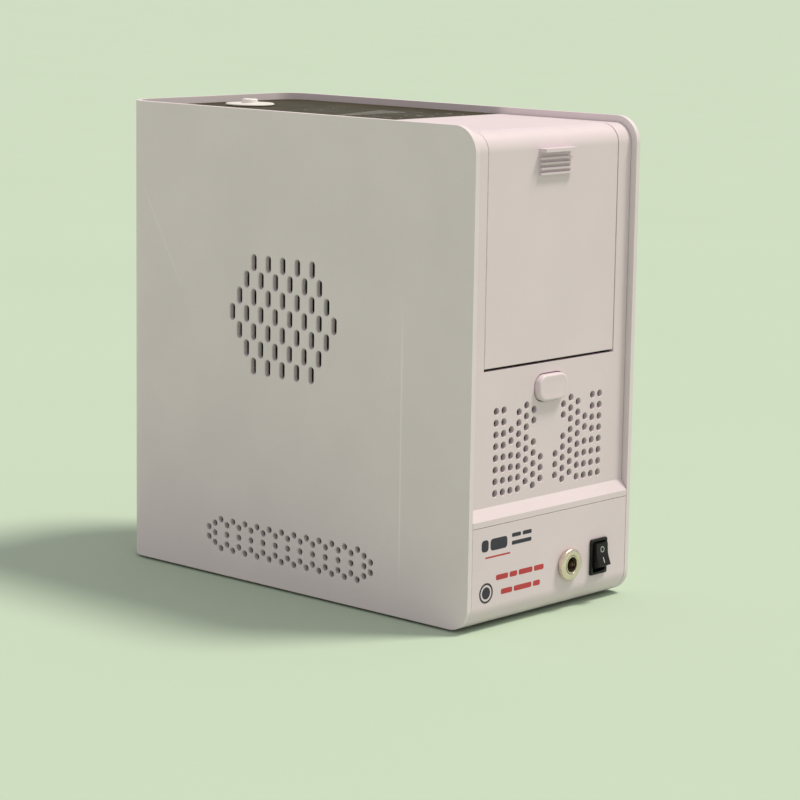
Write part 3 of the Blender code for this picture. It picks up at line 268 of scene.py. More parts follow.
def carve(item, cutter, operation="DIFFERENCE"):
    """Apply a Boolean to an object and throw its cutter away."""
    change = item.modifiers.new("carve", "BOOLEAN")
    change.operation = operation
    change.solver = "EXACT"
    change.object = cutter
    graph = bpy.context.evaluated_depsgraph_get()
    graph.update()
    result = bpy.data.meshes.new_from_object(item.evaluated_get(graph))
    item.modifiers.clear()
    item.data = result
    bpy.data.objects.remove(cutter, do_unlink=True)
    return item


def soften_object(item, width, segments=2, angle=30.0, pick=None):
    bm = bmesh.new()
    bm.from_mesh(item.data)
    bmesh.ops.dissolve_limit(bm, angle_limit=0.0005, verts=bm.verts, edges=bm.edges)
    soften(bm, width, segments, angle, pick)
    bm.to_mesh(item.data)
    bm.free()
    return item


def dress(item, finish, body="housing", node=None, sharp=40.0):
    """Give a finished piece its shading and its material, attach it to its body, and hide the CAD node that
    it stands for.
    """
    item.data.materials.clear()
    item.data.materials.append(finish)
    item.data.shade_smooth()
    item.data.set_sharp_from_angle(angle=math.radians(sharp))
    even = item.modifiers.new("even_normals", "WEIGHTED_NORMAL")
    even.keep_sharp = True
    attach(item, body)
    if node:
        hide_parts(node)
    return item


def flared(outline_at, axis, surface, inner, flare):
    """Rings of a hole cutter: a chamfer at the surface, then a straight way past the inner side."""
    out = 1.0 if surface > inner else -1.0
    lift = 0.0001
    stages = [(surface + out * lift, flare + lift), (surface - out * flare, 0.0), (inner - out * 0.001, 0.0)]
    return [[place(axis, pair, position) for pair in outline_at(offset)] for position, offset in stages]


# --- Node tools ---


class Shader:
    """A new material with a Principled shader, and short ways to build what feeds it."""

    def __init__(self, name, **sockets):
        self.material = bpy.data.materials.new(name)
        self.material.use_nodes = True
        self.tree = self.material.node_tree
        self.surface = self.tree.nodes["Principled BSDF"]
        self.points = self.add("ShaderNodeTexCoord").outputs["Object"]
        for socket, value in sockets.items():
            self.set(socket.replace("_", " "), value)

    def set(self, socket, value):
        self.connect(self.surface.inputs[socket], value)

    def connect(self, socket, value):
        if isinstance(value, bpy.types.NodeSocket):
            self.tree.links.new(value, socket)
        else:
            socket.default_value = value

    def add(self, kind, inputs=None, **settings):
        made = self.tree.nodes.new(kind)
        for name, value in settings.items():
            setattr(made, name, value)
        for name, value in (inputs or {}).items():
            self.connect(made.inputs[name], value)
        return made

    def finish(self, colour, roughness, normal):
        self.set("Base Color", colour)
        self.set("Roughness", roughness)
        self.set("Normal", normal)
        return self.material

    def stretched(self, factors):
        return self.add("ShaderNodeMapping", {"Vector": self.points, "Scale": factors}).outputs["Vector"]

    def noise(self, scale, detail=3.0, roughness=0.5, factors=None):
        points = self.stretched(factors) if factors else self.points
        inputs = {"Vector": points, "Scale": scale, "Detail": detail, "Roughness": roughness}
        return self.add("ShaderNodeTexNoise", inputs).outputs["Fac"]

    def cells(self, scale, output="Distance"):
        return self.add("ShaderNodeTexVoronoi", {"Vector": self.points, "Scale": scale}).outputs[output]

    def spread(self, value, low, high, from_low=0.3, from_high=0.7):
        inputs = {"Value": value, "From Min": from_low, "From Max": from_high, "To Min": low, "To Max": high}
        return self.add("ShaderNodeMapRange", inputs).outputs["Result"]

    def vary(self, scale, detail, low, high, from_low=0.3, from_high=0.7, roughness=0.5):
        """Noise that runs from one value to another."""
        return self.spread(self.noise(scale, detail, roughness), low, high, from_low, from_high)

    def mix(self, factor, first, second):
        made = self.add("ShaderNodeMix", data_type="RGBA")
        self.connect(made.inputs[0], factor)
        self.connect(made.inputs[6], (*first, 1.0) if isinstance(first, tuple) else first)
        self.connect(made.inputs[7], (*second, 1.0) if isinstance(second, tuple) else second)
        return made.outputs[2]

    def math(self, operation, first, second=0.0):
        return self.add("ShaderNodeMath", {0: first, 1: second}, operation=operation).outputs[0]

    def wear(self):
        """The share of a point that is scuffed: part of each softened edge."""
        edge = self.add("ShaderNodeAttribute", attribute_name="wear").outputs["Fac"]
        return self.math("MULTIPLY", edge, self.vary(160.0, 4.0, 0.15, 1.0, 0.42, 0.6))

    def bump(self, height, distance, strength=1.0, under=None):
        inputs = {"Height": height, "Distance": distance, "Strength": strength}
        if under:
            inputs["Normal"] = under
        return self.add("ShaderNodeBump", inputs).outputs["Normal"]

    def line(self, start, end, width):
        """1 on a thin line between two points of a side wall, as distance behind and height, else 0."""
        first = Vector((0.0, behind(start[0]), start[1]))
        way = Vector((0.0, behind(end[0]), end[1])) - first
        length = way.length
        way.normalize()
        across = Vector((0.0, -way.z, way.y))
        inputs = {0: self.points, 1: first}
        offset = self.add("ShaderNodeVectorMath", inputs, operation="SUBTRACT").outputs[0]
        ahead, aside = (
            self.add("ShaderNodeVectorMath", {0: offset, 1: axis}, operation="DOT_PRODUCT").outputs["Value"]
            for axis in (way, across)
        )
        near = self.spread(self.math("ABSOLUTE", aside), 1.0, 0.0, width * 0.3, width)
        begun = self.spread(ahead, 0.0, 1.0, 0.0, length * 0.2)
        ended = self.spread(ahead, 1.0, 0.0, length * 0.8, length)
        return self.math("MULTIPLY", near, self.math("MULTIPLY", begun, ended))


def scaled(colour, factor):
    return tuple(min(1.0, part * factor) for part in colour)


# --- Materials ---


def moulded(name, colour, rough, grain=1.0, tone=0.03, lines=()):
    """Moulded plastic: slow changes of tone, dust, scuffed edges, and two sizes of grain."""
    shader = Shader(name)
    body = shader.mix(
        shader.vary(22.0, 4.0, 0.0, 1.0), scaled(colour, 1.0 - tone), scaled(colour, 1.0 + tone)
    )
    specks = shader.vary(1500.0, 2.0, 0.0, 0.35 * grain, 0.6, 0.75)
    body = shader.mix(specks, body, scaled(colour, 0.86))
    body = shader.mix(shader.math("MULTIPLY", shader.wear(), 0.5), body, scaled(colour, 1.22))
    for start, end, width, strength in lines:
        place_x = shader.add("ShaderNodeSeparateXYZ", {0: shader.points}).outputs[0]
        left = shader.math("LESS_THAN", place_x, 0.0)
        mark = shader.math("MULTIPLY", shader.line(start, end, width), left)
        body = shader.mix(shader.math("MULTIPLY", mark, strength), body, scaled(colour, 1.35))
    shader.set("Base Color", body)
    shader.set("Roughness", shader.vary(70.0, 5.0, rough - 0.06, rough + 0.08))
    peel = shader.bump(shader.noise(620.0, 2.0), 0.00006, 0.5 * grain)
    shader.set("Normal", shader.bump(shader.noise(2300.0, 2.0), 0.00004, 0.6 * grain, peel))
    shader.set("Specular IOR Level", 0.45)
    return shader.material


def glossy(name, colour, rough, specular):
    """Hard gloss plastic or glass: a little haze from handling, and fine dust."""
    shader = Shader(name, Specular_IOR_Level=specular)
    haze = shader.vary(26.0, 5.0, 0.0, 1.0, 0.35, 0.75, roughness=0.6)
    return shader.finish(
        shader.mix(haze, scaled(colour, 0.9), scaled(colour, 1.25)),
        shader.vary(38.0, 6.0, rough, rough + 0.12, roughness=0.65),
        shader.bump(shader.noise(900.0, 2.0), 0.00001, 0.3),
    )


def metal(name, colour, rough, factors, depth=0.00002):
    """Machined or plated metal: fine tool marks that run one way, and dull patches."""
    shader = Shader(name, Metallic=1.0)
    marks = shader.noise(1.0, 3.0, 0.6, factors)
    patches = shader.noise(110.0, 4.0)
    return shader.finish(
        shader.mix(shader.spread(patches, 0.0, 1.0), scaled(colour, 0.82), scaled(colour, 1.08)),
        shader.spread(marks, rough - 0.07, rough + 0.16),
        shader.bump(marks, depth, 0.5),
    )


def rubber(name, colour):
    shader = Shader(name)
    bloom = shader.vary(120.0, 5.0, 0.0, 1.0, 0.45, 0.75, roughness=0.6)
    return shader.finish(
        shader.mix(bloom, colour, scaled(colour, 1.9)),
        shader.vary(300.0, 3.0, 0.72, 0.92),
        shader.bump(shader.noise(1800.0, 3.0), 0.00006, 0.7),
    )


def clear_plastic():
    shader = Shader("clear_plastic", Transmission_Weight=0.92, IOR=1.49)
    return shader.finish(
        shader.mix(shader.noise(30.0), (0.86, 0.92, 0.94), (0.94, 0.97, 0.97)),
        shader.vary(60.0, 5.0, 0.03, 0.12),
        shader.bump(shader.noise(240.0), 0.00003, 0.4),
    )


def silicone():
    shader = Shader("silicone_hose", Subsurface_Weight=0.2, Subsurface_Radius=(0.004, 0.004, 0.005))
    return shader.finish(
        shader.mix(shader.noise(60.0), (0.5, 0.57, 0.61), (0.62, 0.68, 0.71)),
        shader.vary(150.0, 4.0, 0.25, 0.42),
        shader.bump(shader.noise(700.0), 0.00003, 0.4),
    )


def absorbent():
    """Chalky granules, some of them turned a little violet by use."""
    shader = Shader("absorbent_granules")
    grain = shader.cells(330.0, "Color")
    shade = shader.add("ShaderNodeSeparateXYZ", {0: grain}).outputs[0]
    body = shader.mix(shade, (0.62, 0.59, 0.55), (0.88, 0.86, 0.82))
    used = shader.vary(45.0, 3.0, 0.0, 0.35, 0.5, 0.7)
    return shader.finish(
        shader.mix(used, body, (0.6, 0.52, 0.66)),
        shader.vary(900.0, 3.0, 0.85, 0.98),
        shader.bump(shader.cells(330.0), 0.0008, 0.8),
    )


def solder_mask():
    """A green board with tracks in straight runs and tinned pads."""
    shader = Shader("solder_mask", Coat_Weight=0.3, Coat_Roughness=0.15)
    runs = shader.add(
        "ShaderNodeTexBrick",
        {"Vector": shader.points, "Scale": 130.0, "Mortar Size": 0.03, "Row Height": 0.21,
         "Brick Width": 0.9, "Color1": (0.0, 0.0, 0.0, 1.0), "Color2": (0.0, 0.0, 0.0, 1.0),
         "Mortar": (1.0, 1.0, 1.0, 1.0)},
    ).outputs["Fac"]
    body = shader.mix(runs, (0.012, 0.11, 0.05), (0.03, 0.22, 0.09))
    pads = shader.spread(shader.cells(420.0), 1.0, 0.0, 0.1, 0.16)
    return shader.finish(
        shader.mix(pads, body, (0.6, 0.6, 0.57)),
        shader.vary(200.0, 3.0, 0.3, 0.5),
        shader.bump(runs, 0.00004, 0.5),
    )


def winding():
    """Enamelled wire, wound in level turns, with painted shade in the grooves between turns and a painted
    highlight on their crowns.
    """
    shader = Shader("enamelled_wire", Metallic=0.9)
    turns = shader.add("ShaderNodeTexWave", {"Vector": shader.points, "Scale": 420.0, "Distortion": 0.6},
                       bands_direction="Z").outputs["Fac"]
    return shader.finish(
        # The colour follows the turns: painted shade in the grooves, painted highlight on each crown.
        shader.mix(turns, (0.3, 0.1, 0.04), (0.78, 0.36, 0.17)),
        shader.vary(300.0, 3.0, 0.25, 0.45),
        shader.bump(turns, 0.0002, 0.8),
    )


SHELL_COLOUR = (0.765, 0.69, 0.712)
FASCIA_COLOUR = (0.738, 0.638, 0.682)
MOULD_LINE = ((0.051, 0.012), (0.051, 0.18), 0.0009, 0.35)
SCRATCH = ((0.264, 0.231), (0.227, 0.168), 0.0005, 0.3)

SHELL = moulded("casing_plastic", SHELL_COLOUR, 0.5, 1.0, 0.025, (MOULD_LINE, SCRATCH))
FASCIA = moulded("fascia_plastic", FASCIA_COLOUR, 0.46, 0.6, 0.02)
WHITE = moulded("cap_plastic", (0.8, 0.77, 0.74), 0.38, 0.4, 0.02)
GREY = moulded("liner_plastic", (0.3, 0.31, 0.32), 0.5, 0.8, 0.06)
BLACK = moulded("black_moulding", (0.016, 0.016, 0.018), 0.42, 0.8, 0.1)
SWITCH_BLACK = glossy("switch_plastic", (0.01, 0.009, 0.01), 0.3, 0.25)
GLASS = glossy("touch_glass", (0.044, 0.039, 0.018), 0.3, 0.008)
PRINT_PALE = glossy("pale_print", (0.17, 0.16, 0.14), 0.3, 0.2)
PRINT_DARK = moulded("dark_print", (0.03, 0.03, 0.05), 0.5, 0.5, 0.12)
PRINT_RED = moulded("red_print", (0.5, 0.045, 0.05), 0.5, 0.5, 0.1)
MARK_WHITE = moulded("white_mark", (0.5, 0.5, 0.48), 0.5, 0.5)
FAN_BLACK = moulded("fan_moulding", (0.05, 0.046, 0.043), 0.5, 0.8, 0.1)
NICKEL = metal("nickel_plate", (0.82, 0.72, 0.6), 0.24, (300.0, 2600.0, 300.0))
STEEL = metal("machined_steel", (0.56, 0.56, 0.57), 0.32, (2400.0, 300.0, 300.0))
ALUMINIUM = metal("machined_aluminium", (0.74, 0.75, 0.76), 0.34, (400.0, 3000.0, 400.0))
RUBBER = rubber("black_rubber", (0.022, 0.022, 0.023))
CLEAR = clear_plastic()
GRANULES = absorbent()
BOARD = solder_mask()
COPPER = winding()
HOSE = silicone()


# --- Casing ---

SLOT_WIDTH = 0.0042
SLOT_LENGTH = 0.0097
SLOT_PITCH = 0.01168
SLOT_ROW_PITCH = 0.01003
SLOT_ROWS = (5, 6, 7, 8, 7, 6, 5)
HEX_VENT_HEIGHT = 0.1597
HEX_VENT_BEHIND = 0.1443
HOLE_RADIUS = 0.0019
HOLE_PITCH = 0.00583
HOLE_COLUMNS = 27
LONG_VENT_BEHIND = 0.1386
LONG_VENT_HEIGHT = 0.026
VENT_FLARE = 0.00045
FLANGE_REACH = 0.0035
REAR_FITTINGS = ("oxygen_inlet", "fresh_gas_outlet", "scavenging_outlet")


def side_outline():
    """The casing from the side, as pairs of Y and Z."""
    low, rear, high = FRONT_BOTTOM_RADIUS, REAR_BOTTOM_RADIUS, FRONT_TOP_RADIUS
    points = arc((FRONT + low, BOTTOM + low), low, 180, 270, 14)
    points += arc((BACK - rear, BOTTOM + rear), rear, 270, 360, 10) + [(BACK, TOP)]
    return points + arc((FRONT + high, TOP - high), high, 90, 180, 16)


def cavity_side_outline():
    """The hollow from the side: open but at the rear, where the wall curls under."""
    lip_centre = (BACK - REAR_BOTTOM_RADIUS, BOTTOM + REAR_BOTTOM_RADIUS)
    points = [(FRONT - PAST, -PAST), (lip_centre[0], -PAST)]
    points += arc(lip_centre, REAR_BOTTOM_RADIUS - WALL, 270, 360, 10)
    points += [(BACK - WALL, TOP + PAST), (FRONT - PAST, TOP + PAST)]
    return points


def slot_centres():
    middle_row = (len(SLOT_ROWS) - 1) / 2
    for row, count in enumerate(SLOT_ROWS):
        z = HEX_VENT_HEIGHT + (middle_row - row) * SLOT_ROW_PITCH
        for index in range(count):
            yield behind(HEX_VENT_BEHIND) + (index - (count - 1) / 2) * SLOT_PITCH, z


def slot_outline(centre, offset):
    radius = SLOT_WIDTH / 2 + offset
    straight = (SLOT_LENGTH - SLOT_WIDTH) / 2
    outline = arc((centre[0], centre[1] + straight), radius, 0, 180, 8)
    return outline + arc((centre[0], centre[1] - straight), radius, 180, 360, 8)


def long_vent_centres():
    column_pitch = HOLE_PITCH * math.sqrt(3) / 2
    for column in range(HOLE_COLUMNS):
        y = behind(LONG_VENT_BEHIND) + ((HOLE_COLUMNS - 1) / 2 - column) * column_pitch
        if column in (0, HOLE_COLUMNS - 1):
            rows = (-0.5, 0.5)
        elif column % 2:
            rows = (-1.0, 0.0, 1.0)
        else:
            rows = (-1.5, 1.5)
        for row in rows:
            yield y, LONG_VENT_HEIGHT + row * HOLE_PITCH


def vent_cutter(side):
    bm = bmesh.new()
    walls = (side * HALF, side * (HALF - WALL), VENT_FLARE)
    for centre in slot_centres():
        loft(bm, flared(lambda offset: slot_outline(centre, offset), "X", *walls))
    for centre in long_vent_centres():
        loft(bm, flared(lambda offset: circle(centre, HOLE_RADIUS + offset, 16), "X", *walls))
    return make_object("vent_cutter", bm)


def make_casing():
    casing = prism_object(
        "casing_shell", plan_outline(HALF, FRONT, BACK, REAR_CORNER_RADIUS), "Z", BOTTOM - 0.001, TOP + 0.001
    )
    carve(casing, prism_object("side_form", side_outline(), "X", -WIDE, WIDE), "INTERSECT")
    inner = plan_outline(HALF - WALL, FRONT - 0.008, BACK - WALL, REAR_CORNER_RADIUS - WALL)
    hollow = prism_object("hollow", inner, "Z", -0.008, TOP + 0.008)
    carve(hollow, prism_object("hollow_side", cavity_side_outline(), "X", -WIDE, WIDE), "INTERSECT")
    carve(casing, hollow)
    near_outside = HALF - 0.0004

    def on_outside(edge):
        return all(abs(vert.co.x) > near_outside or vert.co.y > BACK - WALL + 0.0004 for vert in edge.verts)

    soften_object(casing, 0.0012, 4, 40.0, on_outside)
    soften_object(casing, 0.0005, 2, 60.0)
    for side in (-1, 1):
        carve(casing, vent_cutter(side))
    bm = bmesh.new()
    for name in REAR_FITTINGS:
        centre = face_centre(name)
        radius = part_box(name)[1].x - centre[0] - FLANGE_REACH
        add_prism(bm, circle(centre, radius + GAP, 32), "Y", BACK - PAST, BACK + PAST)
    carve(casing, make_object("fitting_cutter", bm))
    dress(casing, SHELL, node="outer_shell")


# --- Front panels ---

GRILLE_HOLE_RADIUS = 0.0021
GRILLE_COLUMN_PITCH = 0.00645
GRILLE_EVEN_PITCH = 0.00654
GRILLE_EVEN_BOTTOM = 0.0752
GRILLE_STAGGER_PITCH = 0.00613
GRILLE_STAGGER_TOP = 0.1215
GRILLE_FLARE = 0.0002
GRILLE_EVEN = {7: range(8), 6: range(8), 5: range(4), 4: range(2)}
GRILLE_STAGGERED = {
    5: (2, 3),
    4: (0.5, 1.5, 2.5, 3.5, 4.5, 5.5),
    3: range(8),
    2: (0.5, 1.5, 3.5, 4.5, 5.5, 6.5, 7.5),
    1: (5, 6, 7),
}
BUTTON_HEIGHT = face_centre("push_button")[1]
BUTTON_HALF_WIDTH = 0.0127
BUTTON_HALF_TALL = 0.0074
BUTTON_CORNER = 0.0066
BUTTON_SLACK = 0.0005
HINGE_STRIP_TOP = 0.151
HINGE_STRIP_BACK = 0.0083
DOOR_SIDE_GAP = 0.0005
SEAM_ROUND = 0.0006
INLET_HOLE = 0.0055
SWITCH_HOLE = (0.0067, 0.0097)
PIN_HOLE = 0.0011
PIN_INNER = 0.0497
PIN_OUTER = 0.061


def grille_centres():
    for side in (-1, 1):
        for column, rows in GRILLE_EVEN.items():
            for row in rows:
                yield side * column * GRILLE_COLUMN_PITCH, GRILLE_EVEN_BOTTOM + row * GRILLE_EVEN_PITCH
        for column, steps in GRILLE_STAGGERED.items():
            for step in steps:
                yield side * column * GRILLE_COLUMN_PITCH, GRILLE_STAGGER_TOP - step * GRILLE_STAGGER_PITCH


def front_profile(outer_bottom, inner_bottom, end_gap):
    """The recessed front from the side: a flat wall, then a quarter round that ends level with the deck."""
    radius = FRONT_TOP_RADIUS - RIM
    centre = (behind(FRONT_TOP_RADIUS), TOP - FRONT_TOP_RADIUS)
    top_angle = 90 + math.degrees(end_gap / radius)
    outer = outer_bottom + arc(centre, radius, 180, top_angle, 16)
    inner = arc(centre, radius - PLATE, top_angle, 180, 16) + inner_bottom
    return outer + inner


def make_chin():
    centre = (behind(FRONT_BOTTOM_RADIUS), BOTTOM + FRONT_BOTTOM_RADIUS)
    outline = [(FRONT, CHIN_TOP)] + arc(centre, FRONT_BOTTOM_RADIUS, 180, 270, 16)
    outline += arc(centre, FRONT_BOTTOM_RADIUS - PLATE, 270, 180, 16) + [(behind(PLATE), CHIN_TOP)]
    chin = soften_object(prism_object("chin_cover", outline, "X", -PANEL_HALF, PANEL_HALF), 0.0003, 2, 40.0)
    openings = (
        circle(face_centre("inlet_ring"), INLET_HOLE, 32),
        rounded_rectangle(face_centre("switch_body"), *SWITCH_HOLE, 0.0005, 2),
    )
    bm = bmesh.new()
    for opening in openings:
        add_prism(bm, opening, "Y", behind(-PAST), behind(PAST))
    carve(chin, make_object("chin_cutter", bm))
    dress(chin, FASCIA, node="chin_panel")


def make_fascia():
    foot = CHIN_TOP + GAP
    outer_bottom = [(FRONT, foot), (FRONT, LEDGE_BOTTOM), (behind(RIM), LEDGE_TOP)]
    inner_bottom = [(behind(RIM + PLATE), LEDGE_TOP - 0.0008), (behind(PLATE), LEDGE_BOTTOM - 0.0008)]
    inner_bottom += [(behind(PLATE), foot)]
    outline = front_profile(outer_bottom, inner_bottom, 0.0)
    fascia = prism_object("fascia_cover", outline, "X", -PANEL_HALF, PANEL_HALF)
    opening = DOOR_HALF + DOOR_SIDE_GAP
    bm = bmesh.new()
    for side in (-1, 1):
        near, far = sorted((side * opening, side * (opening + 0.006)))
        boss_front = behind(RIM + PLATE - 0.0005)
        add_box(bm, (near, boss_front, 0.1445), (far, behind(HINGE_STRIP_BACK + 0.001), 0.1505))
    carve(fascia, make_object("bosses", bm), "UNION")
    bm = bmesh.new()
    add_box(bm, (-opening, behind(-PAST), SILL), (opening, behind(0.03), 0.3))
    carve(fascia, make_object("door_opening", bm))
    soften_object(fascia, 0.0005, 3, 22.0, lambda edge: edge.calc_length() > 0.03)
    bm = bmesh.new()
    for side in (-1, 1):
        low, high = sorted((side * 0.055, side * PIN_OUTER))
        add_prism(bm, circle((HINGE_Y, HINGE_Z), PIN_HOLE, 20), "X", low, high)
    surface = behind(RIM)
    inner = behind(RIM + PLATE)
    for centre in grille_centres():
        rings = flared(
            lambda offset: circle(centre, GRILLE_HOLE_RADIUS + offset, 18), "Y", surface, inner, GRILLE_FLARE
        )
        loft(bm, rings)

    def button_opening(offset):
        sizes = (BUTTON_HALF_WIDTH, BUTTON_HALF_TALL, BUTTON_CORNER)
        return rounded_rectangle((0.0, BUTTON_HEIGHT), *[size + BUTTON_SLACK + offset for size in sizes], 8)

    loft(bm, flared(button_opening, "Y", surface, inner, 0.0004))
    carve(fascia, make_object("grille_cutter", bm))
    dress(fascia, FASCIA, node="front_fascia", sharp=20.0)


PULL_HALF = 0.0138
PULL_TOP = 0.263
PULL_THICKNESS = 0.0019
PULL_REACH = 0.0052
PULL_ROUND = 0.0008
FIRST_RIB_TOP = PULL_TOP - 0.0049
RIB_PITCH = 0.0028
RIB_THICKNESS = 0.0012
RIB_REACH = 0.002
RIB_COUNT = 4
PULL_ROOT = 0.0015


def make_door():
    """The door, with the lip and the ribs of its pull."""
    face = behind(RIM)
    strip = behind(HINGE_STRIP_BACK)
    inner_bottom = [(behind(RIM + PLATE), HINGE_STRIP_TOP), (strip, HINGE_STRIP_TOP), (strip, DOOR_BOTTOM)]
    outline = front_profile([(face, DOOR_BOTTOM)], inner_bottom, GAP)
    door = prism_object("door_panel", outline, "X", -DOOR_HALF, DOOR_HALF)
    soften_object(door, SEAM_ROUND, 3, 40.0)
    bm = bmesh.new()
    for rib in range(RIB_COUNT):
        top = FIRST_RIB_TOP - rib * RIB_PITCH
        add_box(bm, (-PULL_HALF, face - RIB_REACH, top - RIB_THICKNESS), (PULL_HALF, face + PULL_ROOT, top))
    soften(bm, 0.0004, 2, 40.0)
    carve(door, make_object("pull_ribs", bm), "UNION")
    lip_low = (-PULL_HALF, face - PULL_REACH, PULL_TOP - PULL_THICKNESS)
    lip = box_object("pull_lip", lip_low, (PULL_HALF, face + PULL_ROOT, PULL_TOP), PULL_ROUND, 4, 40.0)
    carve(door, lip, "UNION")
    bm = bmesh.new()
    for side in (-1, 1):
        low, high = sorted((side * PIN_INNER, side * PIN_OUTER))
        add_prism(bm, circle((HINGE_Y, HINGE_Z), PIN_HOLE, 20), "X", low, high)
    carve(door, make_object("pin_cutter", bm))
    dress(door, FASCIA, "door", "door")


def make_hinge_pins():
    for name in ("hinge_pin_left", "hinge_pin_right"):
        low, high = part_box(name)
        profile = rod((high.z - low.z) / 2, low.x, high.x)
        pin = turned_object(name + "_turned", profile, (0.0, HINGE_Y, HINGE_Z), "X", 20)
        dress(pin, STEEL, node=name)


# --- Printed marks on the chin: plain shapes only ---


PRINT_PROUD = 0.00006
PRINT_ROOT = 0.00004


def print_shape(bm, outline):
    add_prism(bm, outline, "Y", FRONT - PRINT_PROUD, FRONT + PRINT_ROOT)


def add_print_row(bm, start, height, widths, tall, gap):
    """A row of plain round-ended bars."""
    x = start
    for width in widths:
        print_shape(bm, rounded_rectangle((x + width / 2, height), width / 2, tall / 2, tall * 0.3, 3))
        x += width + gap


def add_print_ring(bm, centre, inner, outer):
    profile = tube(inner, outer, -PRINT_PROUD, PRINT_ROOT)
    add_turned(bm, profile, (centre[0], FRONT, centre[1]), "Y", 40)


def make_prints():
    """Plain bars, rings and dots stand where a maker's printing would be; they spell nothing."""
    bm = bmesh.new()
    add_print_row(bm, -0.06, 0.0482, (0.0058, 0.0142), 0.0066, 0.0016)
    add_print_row(bm, -0.0345, 0.051, (0.0076, 0.0076), 0.0022, 0.0016)
    add_print_row(bm, -0.0345, 0.0466, (0.0168,), 0.0022, 0.0016)
    print_shape(bm, circle((-0.0556, 0.0216), 0.0034, 32))
    add_print_ring(bm, (-0.0556, 0.0216), 0.0046, 0.0057)
    dress(make_object("dark_marks", bm), PRINT_DARK)
    bm = bmesh.new()
    add_print_row(bm, -0.0568, 0.0414, (0.021,), 0.0009, 0.001)
    add_print_row(bm, -0.0474, 0.029, (0.0102, 0.0064, 0.0118, 0.0084), 0.003, 0.0014)
    add_print_row(bm, -0.043, 0.0204, (0.0096, 0.0152, 0.006), 0.003, 0.0014)
    dress(make_object("red_marks", bm), PRINT_RED)


# --- Push button ---


def make_button():
    low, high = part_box("push_button")
    face = low.y
    edge = 0.0013
    stages = [(face + 0.0002, edge + 0.0035), (face + 0.00008, edge + 0.0016)]
    for step in range(7):
        angle = math.radians(90.0 * step / 6)
        stages.append((face + edge * (1 - math.cos(angle)), edge * (1 - math.sin(angle))))
    stages.append((behind(0.009), 0.0))
    rings = []
    for y, inset in stages:
        corner = max(BUTTON_CORNER - inset, 0.0008)
        sizes = (BUTTON_HALF_WIDTH - inset, BUTTON_HALF_TALL - inset, corner)
        rings.append([place("Y", pair, y) for pair in rounded_rectangle((0.0, BUTTON_HEIGHT), *sizes, 8)])
    bm = bmesh.new()
    loft(bm, rings)
    button = make_object("button_cap", bm)
    profile = rod(0.003, behind(0.006), high.y, 0.0006)
    stem = turned_object("stem", profile, (0.0, 0.0, BUTTON_HEIGHT), "Y", 24)
    carve(button, stem, "UNION")
    dress(button, FASCIA, "push_button", "push_button", 50.0)


# --- Power inlet and switch ---

INLET_BORE = 0.0052
BARREL_RADIUS = 0.0051
KNURLS = 44
KNURL_DEPTH = 0.00028


def make_inlet():
    low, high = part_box("inlet_ring")
    centre = ((low.x + high.x) / 2, 0.0, (low.z + high.z) / 2)
    outer = (high.x - low.x) / 2 - 0.0002
    profile = along(
        low.y, (INLET_BORE, 0.0005), (INLET_BORE + 0.0003, 0.0001), (INLET_BORE + 0.0008, 0.0),
        (outer - 0.0016, 0.0), (outer - 0.0009, 0.00015), (outer - 0.0004, 0.0004), (outer - 0.0001, 0.0008),
    )
    first_knurl = len(profile)
    profile += along(
        low.y, (outer, 0.001), (outer, 0.0028), (outer - 0.0003, 0.003), (outer - 0.0003, 0.0033),
        (INLET_BORE, 0.0033),
    )

    def knurl(step, angle):
        return KNURL_DEPTH * math.cos(KNURLS * angle) if step in (first_knurl, first_knurl + 1) else 0.0

    ring = turned_object("inlet_knurled_ring", profile, centre, "Y", KNURLS * 4, knurl)
    dress(ring, NICKEL, node="inlet_ring", sharp=50.0)
    low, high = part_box("inlet_barrel")
    profile = [(0.0042, high.y)] + along(low.y, (0.0042, 0.0006), (0.0045, 0.0), (BARREL_RADIUS, 0.0))
    groove = low.y + 0.006
    while groove < high.y - 0.002:
        profile += along(groove, (BARREL_RADIUS, 0.0), (0.00475, 0.0004), (BARREL_RADIUS, 0.0008))
        groove += 0.0009
    profile.append((BARREL_RADIUS, high.y))
    barrel = turned_object("inlet_threaded_barrel", profile, centre, "Y", 48)
    dress(barrel, NICKEL, node="inlet_barrel")
    low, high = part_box("inlet_insulator")
    core = turned_object("inlet_core", rod(0.0075, low.y, high.y, 0.0006), centre, "Y", 40)
    dress(core, BLACK, node="inlet_insulator")
    low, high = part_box("inlet_pin")
    profile = along(low.y, (0.0, 0.0), (0.0006, 0.00015), (0.001, 0.0008)) + [(0.001, high.y), (0.0, high.y)]
    dress(turned_object("inlet_centre_pin", profile, centre, "Y", 24), NICKEL, node="inlet_pin")


ROCKER_PIVOT_BEHIND = 0.003
ROCKER_TIP_OUT = 0.0079
ROCKER_VALLEY_OUT = 0.0069
ROCKER_HALF = 0.0064
ROCKER_HALF_WIDTH = 0.005
ROCKER_TILT = math.radians(12.0)
CIRCLE_MARK_HEIGHT = 0.003
BAR_MARK_HEIGHT = -0.0032
CORE_HALF_WIDTH = 0.0063
CORE_HALF_TALL = 0.0093


def rocker_out(z):
    """How far the rocker's face stands out from its pivot: a soft valley between two lobes."""
    share = math.hypot(z, 0.0008) / ROCKER_HALF
    return ROCKER_VALLEY_OUT + (ROCKER_TIP_OUT - ROCKER_VALLEY_OUT) * share


def tilted(out, z):
    """A point of the rocker, turned to its off position, as a pair of Y and Z."""
    height = face_centre("switch_body")[1]
    return (
        -out * math.cos(ROCKER_TILT) + z * math.sin(ROCKER_TILT) + behind(ROCKER_PIVOT_BEHIND),
        z * math.cos(ROCKER_TILT) + out * math.sin(ROCKER_TILT) + height,
    )


def on_rocker(centre_x, pairs, lift):
    """Points on the rocker's face, lifted off it a little, from pairs of X from its middle and Z."""
    return [Vector((centre_x + x, *tilted(rocker_out(z) + lift, z))) for x, z in pairs]


